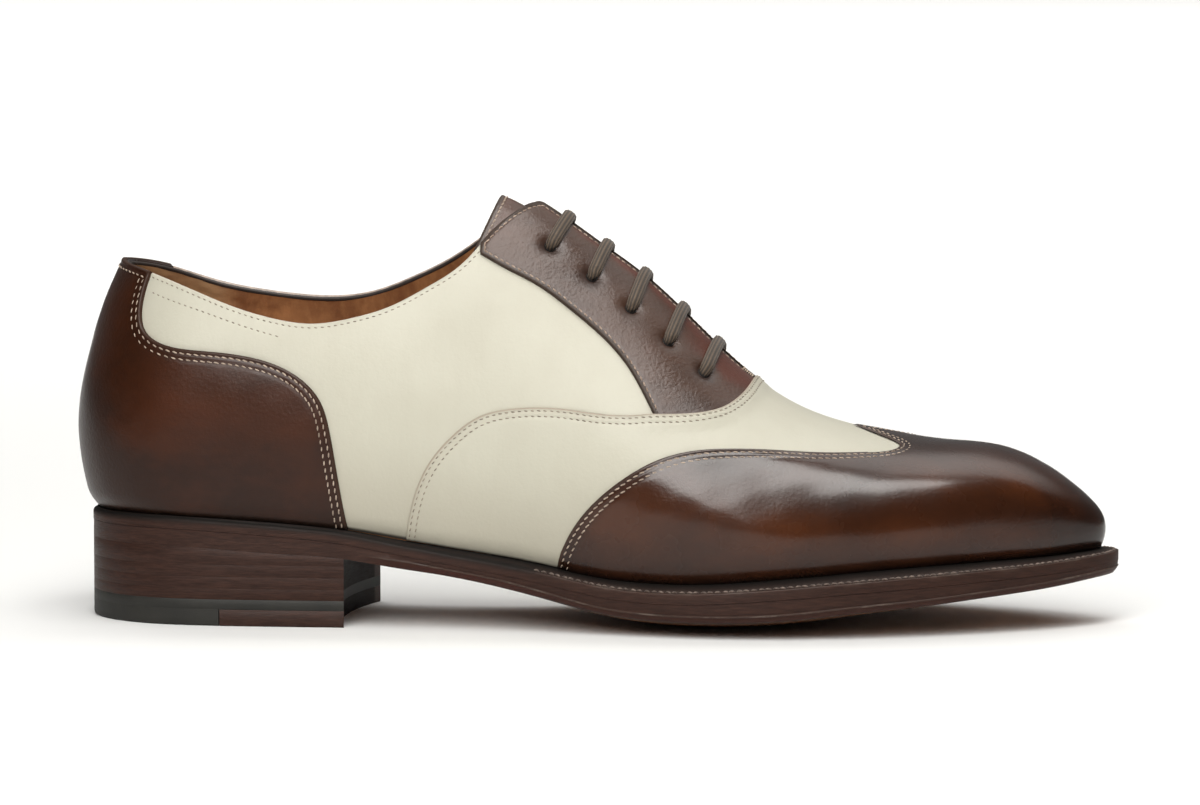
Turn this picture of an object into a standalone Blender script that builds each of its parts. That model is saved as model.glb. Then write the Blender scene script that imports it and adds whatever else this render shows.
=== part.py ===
"""Spectator shoe: a right-foot two-tone wingtip oxford, built round one last.

Every size below is in millimetres: x runs from the back of the sole (0) to the toe, the outer
(lateral) side is at -y and z is up from the floor. The meshes are written in metres about ORIGIN.
"""

import bmesh
import bpy
import numpy as np
from mathutils import Vector

MM = 0.001
ORIGIN = np.array((148.0, 0.1, 0.0))
LATERAL = -1
MEDIAL = 1

# Sole and heel
SOLE_LENGTH = 300.0
WELT_THICKNESS = 3.2
WELT_LEDGE = 0.8
OUTSOLE_SETBACK = 0.4
INSOLE_RISE = 1.0
INSOLE_CLEARANCE = 0.6
HEEL_SETBACK = 0.5
SEAT_GAP = 0.45
BREAST_LATERAL = 78.5
BREAST_MEDIAL = 80.5
BREAST_HOLLOW = 4.5
TOP_LIFT_HEIGHT = 7.7
FRONT_BLOCK_HEIGHT = 4.8
FRONT_BLOCK_START = 42.0

# Upper
GAP = 0.3
WALL = 1.8
OVERLAY_GAP = 0.55
OVERLAY_THICKNESS = 0.8
OVERLAY_WELT_GAP = 0.6
FACING_MEETING = 0.99
HEEL_LEAN_REACH = 70.0
TOE_TUCK = 0.6
TOE_TUCK_HEIGHT = 6.0
TOE_TUCK_REACH = 30.0
THROAT_TOP = 115.0
FACING_CORNER = 132.5
THROAT_END = 193.5
THROAT_HALF_GAP = 2.2
THROAT_ROUND = 8.0

# Tongue, eyelets and lace
TONGUE_CLEARANCE = 1.0
TONGUE_THICKNESS = 1.8
EYELET_RADIUS = 1.5
EYELET_CUT_DEPTH = 8.0
LACE_RADIUS = 1.3

# One row for each station along the sole. bottom is the height of its underside on the centre
# line, crown is how much higher the underside is at the edge, rise is the slope of the welt's top.
SOLE_COLUMNS = ("x", "lateral", "medial", "centre", "inset", "edge_top", "rise", "bottom", "crown")
SOLE_ROWS = (
    (0, 0.0, 0.0, 0.0, 1.3, 31.0, 0.5, 22.8, 0.0),
    (10, -22.0, 22.0, 0.0, 1.4, 31.2, 0.5, 23.0, 0.0),
    (20, -28.6, 28.6, 0.0, 1.5, 31.2, 0.5, 23.0, 0.0),
    (36, -32.4, 32.0, 0.0, 1.6, 30.8, 0.5, 22.6, 0.0),
    (60, -33.2, 31.8, 0.0, 1.8, 29.2, 0.6, 21.0, 0.1),
    (79, -33.2, 30.4, 0.0, 2.2, 27.2, 0.7, 19.3, 0.5),
    (92, -33.1, 29.0, 0.0, 2.9, 24.8, 0.8, 16.8, 0.8),
    (115, -34.2, 27.4, 0.0, 4.0, 20.9, 1.2, 12.0, 1.8),
    (140, -39.2, 30.2, 0.5, 5.0, 16.6, 1.6, 5.6, 3.3),
    (153, -42.8, 34.2, 1.0, 5.4, 14.2, 1.8, 2.2, 4.1),
    (166, -46.0, 38.6, 1.5, 5.7, 13.0, 2.0, 0.0, 5.0),
    (185, -49.4, 45.4, 2.2, 6.0, 13.2, 2.0, -0.9, 5.6),
    (205, -49.4, 49.6, 3.0, 6.0, 14.6, 2.2, 0.2, 5.2),
    (225, -45.6, 49.8, 4.0, 6.0, 16.1, 2.3, 3.0, 4.3),
    (245, -39.0, 46.0, 4.8, 6.0, 17.4, 2.3, 5.9, 3.0),
    (262, -31.0, 39.6, 5.0, 6.0, 18.4, 2.0, 8.4, 2.1),
    (280, -19.6, 29.4, 4.8, 6.0, 19.4, 1.6, 11.2, 1.0),
    (292, -9.2, 18.8, 4.4, 6.0, 20.4, 1.2, 13.4, 0.4),
    (300, 4.0, 4.0, 4.0, 6.0, 21.4, 1.0, 15.0, 0.0),
)

# One row for each section of the last: how far each side swells past the feather line, the
# height of the widest point, the height of the ridge line and how square the shoulder is.
LAST_COLUMNS = ("x", "swell_lateral", "swell_medial", "waist_height", "ridge", "fullness")
LAST_ROWS = (
    (1.3, 0.06, 0.06, 55.0, 131.0, -0.35),
    (30, 0.06, 0.06, 55.0, 131.0, -0.35),
    (60, 0.06, 0.08, 54.0, 131.0, -0.38),
    (90, 0.08, 0.17, 52.0, 131.0, -0.42),
    (113, 0.10, 0.27, 48.0, 128.8, -0.50),
    (125, 0.10, 0.28, 46.0, 124.4, -0.53),
    (137, 0.10, 0.27, 43.0, 117.2, -0.55),
    (150, 0.09, 0.22, 40.0, 107.8, -0.55),
    (163, 0.08, 0.15, 36.0, 98.0, -0.52),
    (176, 0.07, 0.10, 33.0, 85.6, -0.42),
    (190, 0.06, 0.07, 30.5, 72.4, -0.28),
    (207, 0.055, 0.055, 29.0, 61.2, -0.08),
    (225, 0.05, 0.05, 29.0, 55.0, 0.14),
    (246, 0.05, 0.05, 30.0, 51.3, 0.30),
    (264, 0.05, 0.05, 30.5, 49.4, 0.40),
    (277, 0.05, 0.05, 30.5, 44.6, 0.42),
    (286, 0.05, 0.05, 29.5, 38.3, 0.40),
    (294, 0.05, 0.05, 26.0, 28.0, 0.30),
)

BACK_COLUMNS = ("z", "x")
BACK_ROWS = ((31, 1.3), (43, -1.8), (55, -3.0), (66, -2.2), (80, 1.2), (92, 4.9), (104, 10.0))

TOPLINE_COLUMNS = ("x", "lateral", "medial")
TOPLINE_ROWS = (
    (1.3, 103.9, 103.9),
    (15, 100.9, 100.2),
    (33.5, 95.8, 95.2),
    (46, 91.9, 93.2),
    (58, 88.9, 91.9),
    (70, 87.7, 91.7),
    (81, 89.5, 93.6),
    (92, 93.0, 98.0),
    (102.6, 98.7, 103.3),
    (112, 105.3, 109.6),
    (119.5, 113.6, 115.2),
    (126, 118.9, 119.2),
    (131, 120.4, 120.6),
    (136, 119.2, 119.4),
)

# Panel edges: x along the shoe and the height z of the edge on the last.
COUNTER_EDGE = ((79.4, 28.9), (76.4, 46.4), (74.3, 58.2), (71.8, 65.5), (67.6, 70.6), (61.5, 74.6),
                (51.5, 77.8), (37.5, 79.4), (23.7, 81.6), (18.0, 85.2), (15.0, 92.0), (13.6, 102.0))
FACING_EDGE = ((116.4, 107.2), (123.8, 103.2), (133.3, 98.4), (143.0, 91.7), (152.5, 84.1),
               (159.2, 77.2), (164.2, 70.0), (168.5, 62.6))

# Panel edges that cross the top of the foot: x, and the share of the way up from the feather
# line (0) to the ridge line (1).
VAMP_THROAT_EDGE = ((168.5, 0.437), (178.5, 0.51), (186.0, 0.60), (190.8, 0.72), (193.5, 1.0))
WING_TAIL_EDGE = ((140.4, 0.0), (145.0, 0.085), (152.5, 0.172), (163.5, 0.268), (176.0, 0.37),
                  (190.0, 0.475), (204.0, 0.57), (217.5, 0.645), (228.5, 0.71))
WING_PEAK_EDGE = ((228.5, 0.71), (235.5, 0.775), (237.0, 0.83), (232.5, 0.905), (222.5, 1.0))
WING_CAP_START = 224.0
TONGUE_SIDE = ((114.5, 0.63), (150.0, 0.62), (186.0, 0.56))
TONGUE_TOP_X = 121.5
TONGUE_TOE_X = 201.0

# Eyelets: x, share of the way up, and x where the lace crosses the ridge line.
EYELETS = ((136.0, 0.735, 139.2), (148.2, 0.73, 150.4), (159.7, 0.71, 161.4), (170.6, 0.70, 172.2),
           (181.0, 0.705, 182.4))


def natural_spline(nodes, values):
    """Return a smooth curve through (nodes, values) that runs straight at both ends."""
    nodes = np.asarray(nodes, float)
    values = np.asarray(values, float)
    count = len(nodes)
    step = np.diff(nodes)
    system = np.eye(count)
    right = np.zeros(count)
    for i in range(1, count - 1):
        system[i, i - 1:i + 2] = (step[i - 1], 2 * (step[i - 1] + step[i]), step[i])
        right[i] = 6 * ((values[i + 1] - values[i]) / step[i] - (values[i] - values[i - 1]) / step[i - 1])
    bend = np.linalg.solve(system, right)

    def at(place):
        place = np.clip(np.asarray(place, float), nodes[0], nodes[-1])
        i = np.clip(np.searchsorted(nodes, place) - 1, 0, count - 2)
        before = nodes[i + 1] - place
        after = place - nodes[i]
        cubic = (bend[i] * before ** 3 + bend[i + 1] * after ** 3) / (6 * step[i])
        near = (values[i] / step[i] - bend[i] * step[i] / 6) * before
        far = (values[i + 1] / step[i] - bend[i + 1] * step[i] / 6) * after
        return cubic + near + far

    return at


def angle_at(x, start, end):
    """Turn a place along the shoe into an angle from 0 to pi, so that both ends come out round."""
    share = np.clip((np.asarray(x, float) - start) / (end - start), 0.0, 1.0)
    return np.arccos(1 - 2 * share)


def x_at(angle, start, end):
    return start + (end - start) * (1 - np.cos(angle)) / 2


def splines(columns, rows, start, end):
    """Make one curve over the angle for each named column."""
    data = np.array(rows, float)
    nodes = angle_at(data[:, 0], start, end)
    return {name: natural_spline(nodes, data[:, i]) for i, name in enumerate(columns) if i > 0}


SOLE = splines(SOLE_COLUMNS, SOLE_ROWS, 0.0, SOLE_LENGTH)


def sole_angle(x):
    return angle_at(x, 0.0, SOLE_LENGTH)


def outline(angle, side, inset):
    """Point of the sole's outline, moved in by inset along the outline's own normal."""
    angle = np.asarray(angle, float)
    edge = SOLE["lateral"] if side == LATERAL else SOLE["medial"]
    small = 1e-4
    ahead = np.where(angle < np.pi / 2, angle + small, angle)
    behind = ahead - small
    run = x_at(ahead, 0, SOLE_LENGTH) - x_at(behind, 0, SOLE_LENGTH)
    swing = edge(ahead) - edge(behind)
    length = np.hypot(run, swing)
    out_x = -side * swing / length
    out_y = side * run / length
    return x_at(angle, 0, SOLE_LENGTH) - inset * out_x, edge(angle) - inset * out_y


FEATHER_STEPS = 361
END_MARGIN = 1e-3
POINT_WIDTH = 0.05


def feather_curve(side):
    """The line where the upper meets the welt: y as a curve over the last's own angle."""
    angle = np.linspace(0, np.pi, FEATHER_STEPS)
    x, y = outline(angle, side, SOLE["inset"](angle))
    y[[0, -1]] = SOLE["centre"](angle[[0, -1]])
    nodes = angle_at(x, x[0], x[-1])
    return x[0], x[-1], lambda a: np.interp(a, nodes, y)


LAST_START, LAST_END, FEATHER_LATERAL = feather_curve(LATERAL)
FEATHER_MEDIAL = feather_curve(MEDIAL)[2]
LAST = splines(LAST_COLUMNS, LAST_ROWS, LAST_START, LAST_END)
TOPLINE = splines(TOPLINE_COLUMNS, TOPLINE_ROWS, LAST_START, LAST_END)
BACK = natural_spline([row[0] for row in BACK_ROWS], [row[1] for row in BACK_ROWS])


def last_angle(x):
    return angle_at(x, LAST_START, LAST_END)


def fade(distance, reach):
    """1 at no distance, falling smoothly to 0 at reach."""
    share = np.clip(distance / reach, 0, 1)
    return (1 - share) ** 2 * (1 + 2 * share)


def section(angle, side):
    """Sizes of the last's cross-section at this angle."""
    x = x_at(angle, LAST_START, LAST_END)
    on_sole = sole_angle(x)
    feather_y = FEATHER_LATERAL(angle) if side == LATERAL else FEATHER_MEDIAL(angle)
    centre = SOLE["centre"](angle)
    swell = LAST["swell_lateral"](angle) if side == LATERAL else LAST["swell_medial"](angle)
    low = SOLE["edge_top"](on_sole) + SOLE["rise"](on_sole) + GAP
    middle = LAST["waist_height"](angle)
    ridge = LAST["ridge"](angle)
    lower = middle - low
    upper = (ridge - middle) * np.pi / 2
    share = lower / (lower + upper)
    half = side * (feather_y - centre)
    return x, centre, half, swell, low, middle, ridge, LAST["fullness"](angle), share


def last_point(angle, up, side):
    """Point on the last: angle along the shoe, up from the feather line (0) to the ridge (1)."""
    x, centre, half, swell, low, middle, ridge, fullness, share = section(angle, side)
    turn = np.pi / 2 * (up - share) / (1 - share)
    above = turn > 0
    z = np.where(above, middle + (ridge - middle) * np.sin(turn), low + (middle - low) * up / share)
    crown = np.cos(turn) * np.sqrt(1 + fullness * np.sin(turn) ** 2)
    drop = (middle - z) / (middle - low)
    foot = 1 - swell / (1 + swell) * drop ** 2
    y = centre + side * half * (1 + swell) * np.where(above, crown, foot)
    lean = fade(x - LAST_START, HEEL_LEAN_REACH) * (BACK(z) - BACK(low))
    tuck_low = TOE_TUCK * np.clip((low + TOE_TUCK_HEIGHT - z) / TOE_TUCK_HEIGHT, 0, 1) ** 2
    tuck = fade(LAST_END - x, TOE_TUCK_REACH) * (TOE_TUCK - tuck_low)
    return np.stack(np.broadcast_arrays(x + lean + tuck, y, z), -1)


def last_normal(angle, up, side):
    """Unit normal of the last, pointing away from the foot."""
    small = 1e-4
    angle = np.clip(angle, END_MARGIN, np.pi - END_MARGIN)
    ahead = np.where(angle < np.pi / 2, angle + small, angle)
    along = last_point(ahead, up, side) - last_point(ahead - small, up, side)
    rise = last_point(angle, up + small, side) - last_point(angle, up - small, side)
    normal = np.cross(along, rise) * -side
    return normal / np.linalg.norm(normal, axis=-1, keepdims=True)


def lifted(angle, up, side, lift):
    return last_point(angle, up, side) + lift * last_normal(angle, up, side)


def up_at_height(angle, z, side):
    """Share of the way up at which the last's side reaches the height z."""
    _, _, _, _, low, middle, ridge, _, share = section(angle, side)
    turn = np.arcsin(np.clip((z - middle) / (ridge - middle), 0, 1))
    return np.where(z > middle, share + (1 - share) * turn / (np.pi / 2), share * (z - low) / (middle - low))


def foot_up(angle, side):
    """Share of the way up at which an overlay starts, just clear of the welt."""
    low = section(angle, side)[4]
    return up_at_height(angle, low + OVERLAY_WELT_GAP, side)


def throat_up(angle, side):
    """Share of the way up at which the throat opening's edge runs."""
    x, _, half, swell, _, _, _, fullness, share = section(angle, side)
    near_end = np.clip((x - (THROAT_END - THROAT_ROUND)) / THROAT_ROUND, 0, 1)
    gap = THROAT_HALF_GAP * np.sqrt(1 - near_end ** 2)
    ridge_width = np.maximum(half * (1 + swell) * np.sqrt(1 + fullness), THROAT_HALF_GAP)
    turn = np.arccos(gap / ridge_width)
    is_open = (x > THROAT_TOP) & (x < THROAT_END)
    return np.where(is_open, share + (1 - share) * turn / (np.pi / 2), 1.0)


def top_up(angle, side):
    """Share of the way up of the upper's free top edge: topline, facing corner, throat, ridge."""
    x = x_at(angle, LAST_START, LAST_END)
    line = TOPLINE["lateral"](angle) if side == LATERAL else TOPLINE["medial"](angle)
    throat = throat_up(angle, side)
    collar = np.minimum(up_at_height(angle, line, side), throat)
    return np.where(x < TOPLINE_ROWS[-1][0], collar, throat)


def spaced(stretches):
    """Angles along the last: a list of (from x, to x, number of steps) stretches."""
    angles = []
    for start, end, steps in stretches:
        angles.extend(np.linspace(last_angle(start), last_angle(end), steps + 1)[:-1])
    return np.array(angles + [float(last_angle(stretches[-1][1]))])


def placed(points):
    """Metres about the shoe's origin, from millimetres."""
    return (np.asarray(points) - ORIGIN) * MM


def new_collection(name):
    collection = bpy.data.collections.new(name)
    bpy.context.scene.collection.children.link(collection)
    return collection


def new_material(name, color, roughness, metallic=0.0):
    material = bpy.data.materials.new(name)
    material.use_nodes = True
    shader = material.node_tree.nodes["Principled BSDF"]
    shader.inputs["Base Color"].default_value = (*color, 1.0)
    shader.inputs["Roughness"].default_value = roughness
    shader.inputs["Metallic"].default_value = metallic
    material.diffuse_color = (*color, 1.0)
    return material


def mesh_object(name, bm, collection, material, smooth=True):
    """Clean a bmesh up and put it in the scene as a named object."""
    bmesh.ops.remove_doubles(bm, verts=bm.verts, dist=1e-5)
    mesh = bpy.data.meshes.new(name)
    bm.to_mesh(mesh)
    bm.free()
    if smooth:
        mesh.shade_smooth()
    mesh.materials.append(material)
    item = bpy.data.objects.new(name, mesh)
    collection.objects.link(item)
    return item


def add_grid(bm, points, flip):
    """Add a grid of points in millimetres as quads; flip turns its faces over."""
    rows, columns = points.shape[:2]
    verts = [[bm.verts.new(point) for point in row] for row in placed(points)]
    for i in range(rows - 1):
        for j in range(columns - 1):
            quad = [verts[i][j], verts[i + 1][j], verts[i + 1][j + 1], verts[i][j + 1]]
            bm.faces.new(quad[::-1] if flip else quad)
    return verts


def add_wall(bm, upper, lower):
    """Join two rows of vertices, one above the other, with quads."""
    for i in range(len(upper) - 1):
        bm.faces.new((lower[i], lower[i + 1], upper[i + 1], upper[i]))


def slab(name, collection, material, top, bottom):
    """A closed plate between two grids; rows run along the shoe, columns from lateral to medial."""
    bm = bmesh.new()
    high = add_grid(bm, top, False)
    low = add_grid(bm, bottom, True)
    add_wall(bm, [row[0] for row in high], [row[0] for row in low])
    add_wall(bm, [row[-1] for row in high][::-1], [row[-1] for row in low][::-1])
    add_wall(bm, high[-1], low[-1])
    add_wall(bm, high[0][::-1], low[0][::-1])
    item = mesh_object(name, bm, collection, material, smooth=False)
    item.data.shade_smooth()
    item.data.set_sharp_from_angle(angle=0.6)
    return item


def sole_grid(angles, across, inset, height):
    """Grid of points over the sole: angles is a lateral and a medial list, height gives z."""
    lateral = np.stack(outline(angles[0], LATERAL, inset(angles[0])), -1)
    medial = np.stack(outline(angles[1], MEDIAL, inset(angles[1])), -1)
    share = (across[None, :, None] + 1) / 2
    plan = lateral[:, None, :] * (1 - share) + medial[:, None, :] * share
    z = height(plan[..., 0], np.broadcast_to(across, plan.shape[:2]))
    for row in (0, -1):
        if plan[row, -1, 1] - plan[row, 0, 1] < POINT_WIDTH:
            plan[row] = plan[row].mean(axis=0)
            z[row] = z[row, len(across) // 2]
    return np.concatenate([plan, z[..., None]], -1)


def flat(value):
    return lambda angle: np.full(np.shape(angle), value)


def underside(x, across):
    """Height of the outsole's underside, with a flat spot where it meets the floor."""
    angle = sole_angle(x)
    return np.maximum(SOLE["bottom"](angle) + SOLE["crown"](angle) * across ** 2, 0.0)


def make_outsole(collection, material):
    angles = np.concatenate([np.linspace(0, sole_angle(150), 15)[:-1],
                             np.linspace(sole_angle(150), sole_angle(215), 9)[:-1],
                             np.linspace(sole_angle(215), np.pi, 12)])
    across = np.array([-1, -0.75, -0.5, -0.27, 0, 0.27, 0.5, 0.75, 1])
    both = (angles, angles)
    top = sole_grid(both, across, flat(OUTSOLE_SETBACK),
                    lambda x, _: SOLE["edge_top"](sole_angle(x)) - WELT_THICKNESS - GAP)
    bottom = sole_grid(both, across, flat(OUTSOLE_SETBACK), underside)
    return slab("outsole", collection, material, top, bottom)


def make_insole(collection, material):
    angles = np.linspace(0, np.pi, 25)
    across = np.linspace(-1, 1, 3)
    both = (angles, angles)

    def inset(angle):
        return SOLE["inset"](angle) + WALL + INSOLE_CLEARANCE

    top = sole_grid(both, across, inset, lambda x, _: SOLE["edge_top"](sole_angle(x)) + INSOLE_RISE)
    bottom = sole_grid(both, across, inset, lambda x, _: SOLE["edge_top"](sole_angle(x)) - WELT_THICKNESS)
    return slab("insole", collection, material, top, bottom)


def make_welt(collection, material):
    """The strip that runs round between the outsole and the upper, its top sloping up inwards."""
    steps = np.linspace(0, np.pi, 33)
    lateral = [(angle, LATERAL) for angle in steps]
    medial = [(angle, MEDIAL) for angle in steps[-2:0:-1]]
    loops = []
    for angle, side in lateral + medial:
        inset = float(SOLE["inset"](angle))
        corners = []
        for move, rise in ((0.0, -WELT_THICKNESS), (0.0, 0.0), (inset - WELT_LEDGE, "top"),
                           (inset + WALL, "top"), (inset + WALL, -WELT_THICKNESS)):
            x, y = outline(angle, side, max(move, 0.0))
            edge = sole_angle(x)
            lift = SOLE["rise"](edge) if rise == "top" else rise
            corners.append(placed((float(x), float(y), float(SOLE["edge_top"](edge) + lift))))
        loops.append(corners)
    bm = bmesh.new()
    verts = [[bm.verts.new(corner) for corner in corners] for corners in loops]
    for i, ring in enumerate(verts):
        following = verts[(i + 1) % len(verts)]
        for j in range(len(ring)):
            k = (j + 1) % len(ring)
            bm.faces.new((ring[j], following[j], following[k], ring[k]))
    item = mesh_object("welt", bm, collection, material)
    item.data.set_sharp_from_angle(angle=0.6)
    return item


def heel_slab(name, collection, material, start, setback, low, high):
    """A layer of the heel from start to the hollow breast, between the heights low and high."""
    count = 13 if start == 0 else 6
    angles = [np.linspace(sole_angle(start), sole_angle(end), count)
              for end in (BREAST_LATERAL, BREAST_MEDIAL)]
    across = np.linspace(-1, 1, 9)

    def grid(height):
        points = sole_grid(angles, across, flat(setback), lambda x, _: x * 0)
        first = points[:1, :, 0]
        last = points[-1:, :, 0]
        progress = (points[..., 0] - first) / (last - first)
        points[..., 0] -= BREAST_HOLLOW * (1 - across ** 2) * progress
        if start == 0:
            points[0, :, 0] = setback
        points[..., 2] = height(points[..., 0], np.broadcast_to(across, points.shape[:2]))
        return points

    return slab(name, collection, material, grid(high), grid(low))


def level(value):
    return lambda x, across: np.full(np.shape(x), value)


def make_heel(collection, cutters, leather, rubber, block_leather):
    heel_slab("heel_stack", collection, leather, 0, HEEL_SETBACK, level(TOP_LIFT_HEIGHT + GAP),
              lambda x, across: underside(x, across) - SEAT_GAP)
    heel_slab("top_lift_leather", collection, block_leather, FRONT_BLOCK_START + GAP, HEEL_SETBACK,
              level(0.0), level(FRONT_BLOCK_HEIGHT - GAP))
    lift = heel_slab("top_lift_rubber", collection, rubber, 0, HEEL_SETBACK, level(0.0),
                     level(TOP_LIFT_HEIGHT))
    bpy.ops.mesh.primitive_cube_add(size=1)
    notch = bpy.context.object
    notch.name = "heel_notch_cutter"
    reach = SOLE_LENGTH / 4
    notch.scale = Vector((reach, 2 * reach, 2 * FRONT_BLOCK_HEIGHT)) * MM
    notch.location = placed((FRONT_BLOCK_START + reach / 2, 0, 0))
    hide_cutter(notch, cutters)
    cut(lift, notch)


def hide_cutter(item, cutters):
    for collection in list(item.users_collection):
        collection.objects.unlink(item)
    cutters.objects.link(item)
    item.hide_render = True
    item.display_type = "WIRE"


def cut(item, cutter):
    boolean = item.modifiers.new("Cut", "BOOLEAN")
    boolean.operation = "DIFFERENCE"
    boolean.solver = "EXACT"
    boolean.object = cutter


def thicken(item, thickness, direction):
    shell = item.modifiers.new("Thickness", "SOLIDIFY")
    shell.thickness = thickness * MM
    shell.offset = direction


def make_upper(collection, material):
    """The cream upper: one hollow shell, open at the collar, the throat and underneath."""
    angles = spaced(((LAST_START, 60, 10), (60, 108, 7), (108, 136, 6), (136, THROAT_END, 7),
                     (THROAT_END, LAST_END, 11)))
    share = np.linspace(0, 1, 10)
    bm = bmesh.new()
    for side in (LATERAL, MEDIAL):
        up = top_up(angles, side)[:, None] * share[None, :]
        add_grid(bm, last_point(angles[:, None], up, side), side == MEDIAL)
    item = mesh_object("upper", bm, collection, material)
    thicken(item, WALL, -1)
    return item


def along(points, count, side):
    """Spread count points evenly along a smooth line on the last through (angle, up) points."""
    points = np.asarray(points, float)
    if len(points) == 2:
        share = np.linspace(0, 1, count)[:, None]
        return points[0] * (1 - share) + points[1] * share
    steps = np.linalg.norm(np.diff(last_point(points[:, 0], points[:, 1], side), axis=0), axis=1)
    reach = np.concatenate([[0], np.cumsum(steps)])
    even = np.linspace(0, reach[-1], count)
    return np.stack([natural_spline(reach, points[:, k])(even) for k in (0, 1)], -1)


def coons(bottom, top, left, right):
    """Fill four edge curves in the (angle, up) plane; left and right join bottom to top."""
    s = np.linspace(0, 1, len(bottom))[:, None, None]
    t = np.linspace(0, 1, len(left))[None, :, None]
    ruled = (1 - t) * bottom[:, None] + t * top[:, None] + (1 - s) * left[None] + s * right[None]
    corners = ((1 - s) * (1 - t) * bottom[0] + s * (1 - t) * bottom[-1]
               + (1 - s) * t * top[0] + s * t * top[-1])
    return ruled - corners


def panel(name, collection, material, patches, lift, thickness, direction):
    """A leather piece that follows the last: one (angle, up) patch for each side it covers."""
    bm = bmesh.new()
    for side, patch in patches:
        points = lifted(patch[..., 0], patch[..., 1], side, lift)
        add_grid(bm, points, side == MEDIAL)
    item = mesh_object(name, bm, collection, material)
    thicken(item, thickness, direction)
    return item


def edge_by_height(edge, side):
    angles = last_angle([x for x, _ in edge])
    ups = up_at_height(angles, np.array([z for _, z in edge]), side)
    return np.stack([angles, ups], -1)


def edge_by_share(edge):
    return np.array([(float(last_angle(x)), up) for x, up in edge])


def foot_line(start, end, count, side):
    """The lower edge of an overlay, just clear of the welt, between two angles."""
    angles = np.linspace(start, end, count)
    return np.stack([angles, foot_up(angles, side)], -1)


def top_line(start, end, count, side):
    """The upper's free edge between two angles."""
    angles = np.linspace(start, end, count)
    return np.stack([angles, top_up(angles, side)], -1)


def make_counter(collection, material):
    patches = []
    rows = 8
    for side in (LATERAL, MEDIAL):
        edge = edge_by_height(COUNTER_EDGE, side)
        edge[-1, 1] = top_up(edge[-1, 0], side)
        edge[0, 1] = float(foot_up(edge[0, 0], side))
        edge = along(edge, 21, side)
        right = edge[:rows]
        top = np.concatenate([top_line(0, edge[-1, 0], 6, side)[:-1], edge[rows - 1:][::-1]])
        bottom = foot_line(0, right[0, 0], len(top), side)
        left = along([bottom[0], top[0]], rows, side)
        patches.append((side, coons(bottom, top, left, right)))
    return panel("heel_counter", collection, material, patches, OVERLAY_GAP, OVERLAY_THICKNESS, 1)


def make_wing(collection, material):
    """The wingtip: on each side a long tail, then the cap over the toe."""
    patches = []
    for side in (LATERAL, MEDIAL):
        edge = edge_by_share(WING_TAIL_EDGE)
        edge[0, 1] = float(foot_up(edge[0, 0], side))
        tail_top = along(edge, 11, side)
        tail_bottom = foot_line(tail_top[0, 0], last_angle(WING_CAP_START), 11, side)
        tail_left = along([tail_bottom[0], tail_top[0]], 9, side)
        tail_right = along([tail_bottom[-1], tail_top[-1]], 9, side)
        patches.append((side, coons(tail_bottom, tail_top, tail_left, tail_right)))
        peak = along(edge_by_share(WING_PEAK_EDGE), 6, side)
        cap_left = np.concatenate([tail_right, peak[1:]])
        cap_bottom = foot_line(tail_bottom[-1, 0], np.pi, 11, side)
        cap_top = along([peak[-1], (np.pi, 1.0)], 11, side)
        cap_right = along([cap_bottom[-1], cap_top[-1]], len(cap_left), side)
        patches.append((side, coons(cap_bottom, cap_top, cap_left, cap_right)))
    return panel("toe_wing", collection, material, patches, OVERLAY_GAP, OVERLAY_THICKNESS, 1)


def make_facing(collection, material, side, name):
    bottom = along(edge_by_height(FACING_EDGE, side), 13, side)
    right = along(edge_by_share(VAMP_THROAT_EDGE), 7, side)
    right[0] = bottom[-1]
    right[-1, 1] = FACING_MEETING
    bottom[0, 1] = top_up(bottom[0, 0], side)
    left = top_line(bottom[0, 0], last_angle(FACING_CORNER), 7, side)
    top = top_line(left[-1, 0], right[-1, 0], 13, side)
    top[:, 1] = np.minimum(top[:, 1], FACING_MEETING)
    return panel(name, collection, material, [(side, coons(bottom, top, left, right))],
                 OVERLAY_GAP, OVERLAY_THICKNESS, 1)


def make_tongue(collection, material):
    """The tongue lies under the facings and stands above their top corner."""
    patches = []
    for side in (LATERAL, MEDIAL):
        bottom = along(edge_by_share(TONGUE_SIDE), 11, side)
        top = along(edge_by_share(((TONGUE_TOP_X, 1.0), (TONGUE_TOE_X, 1.0))), 11, side)
        left = along([bottom[0], top[0]], 5, side)
        right = along([bottom[-1], top[-1]], 5, side)
        for end in (left, right):
            share = (end[:, 1] - end[0, 1]) / (end[-1, 1] - end[0, 1])
            end[:, 0] = end[0, 0] + (end[-1, 0] - end[0, 0]) * (1 - (1 - share) ** 2)
        patches.append((side, coons(bottom, top, left, right)))
    return panel("tongue", collection, material, patches, -WALL - TONGUE_CLEARANCE,
                 TONGUE_THICKNESS, -1)


def eyelet_cutter(side, cutters, name):
    """Five short pins, square to the last, that pierce a facing and the upper under it."""
    bm = bmesh.new()
    for x, up, _ in EYELETS:
        angle = last_angle(x)
        place = placed(last_point(angle, up, side))
        normal = Vector(last_normal(angle, up, side))
        turn = normal.to_track_quat("Z", "Y").to_matrix().to_4x4()
        turn.translation = place
        bmesh.ops.create_cone(bm, cap_ends=True, segments=8, radius1=EYELET_RADIUS * MM,
                              radius2=EYELET_RADIUS * MM, depth=EYELET_CUT_DEPTH * MM, matrix=turn)
    mesh = bpy.data.meshes.new(name)
    bm.to_mesh(mesh)
    bm.free()
    item = bpy.data.objects.new(name, mesh)
    cutters.objects.link(item)
    hide_cutter(item, cutters)
    return item


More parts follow.
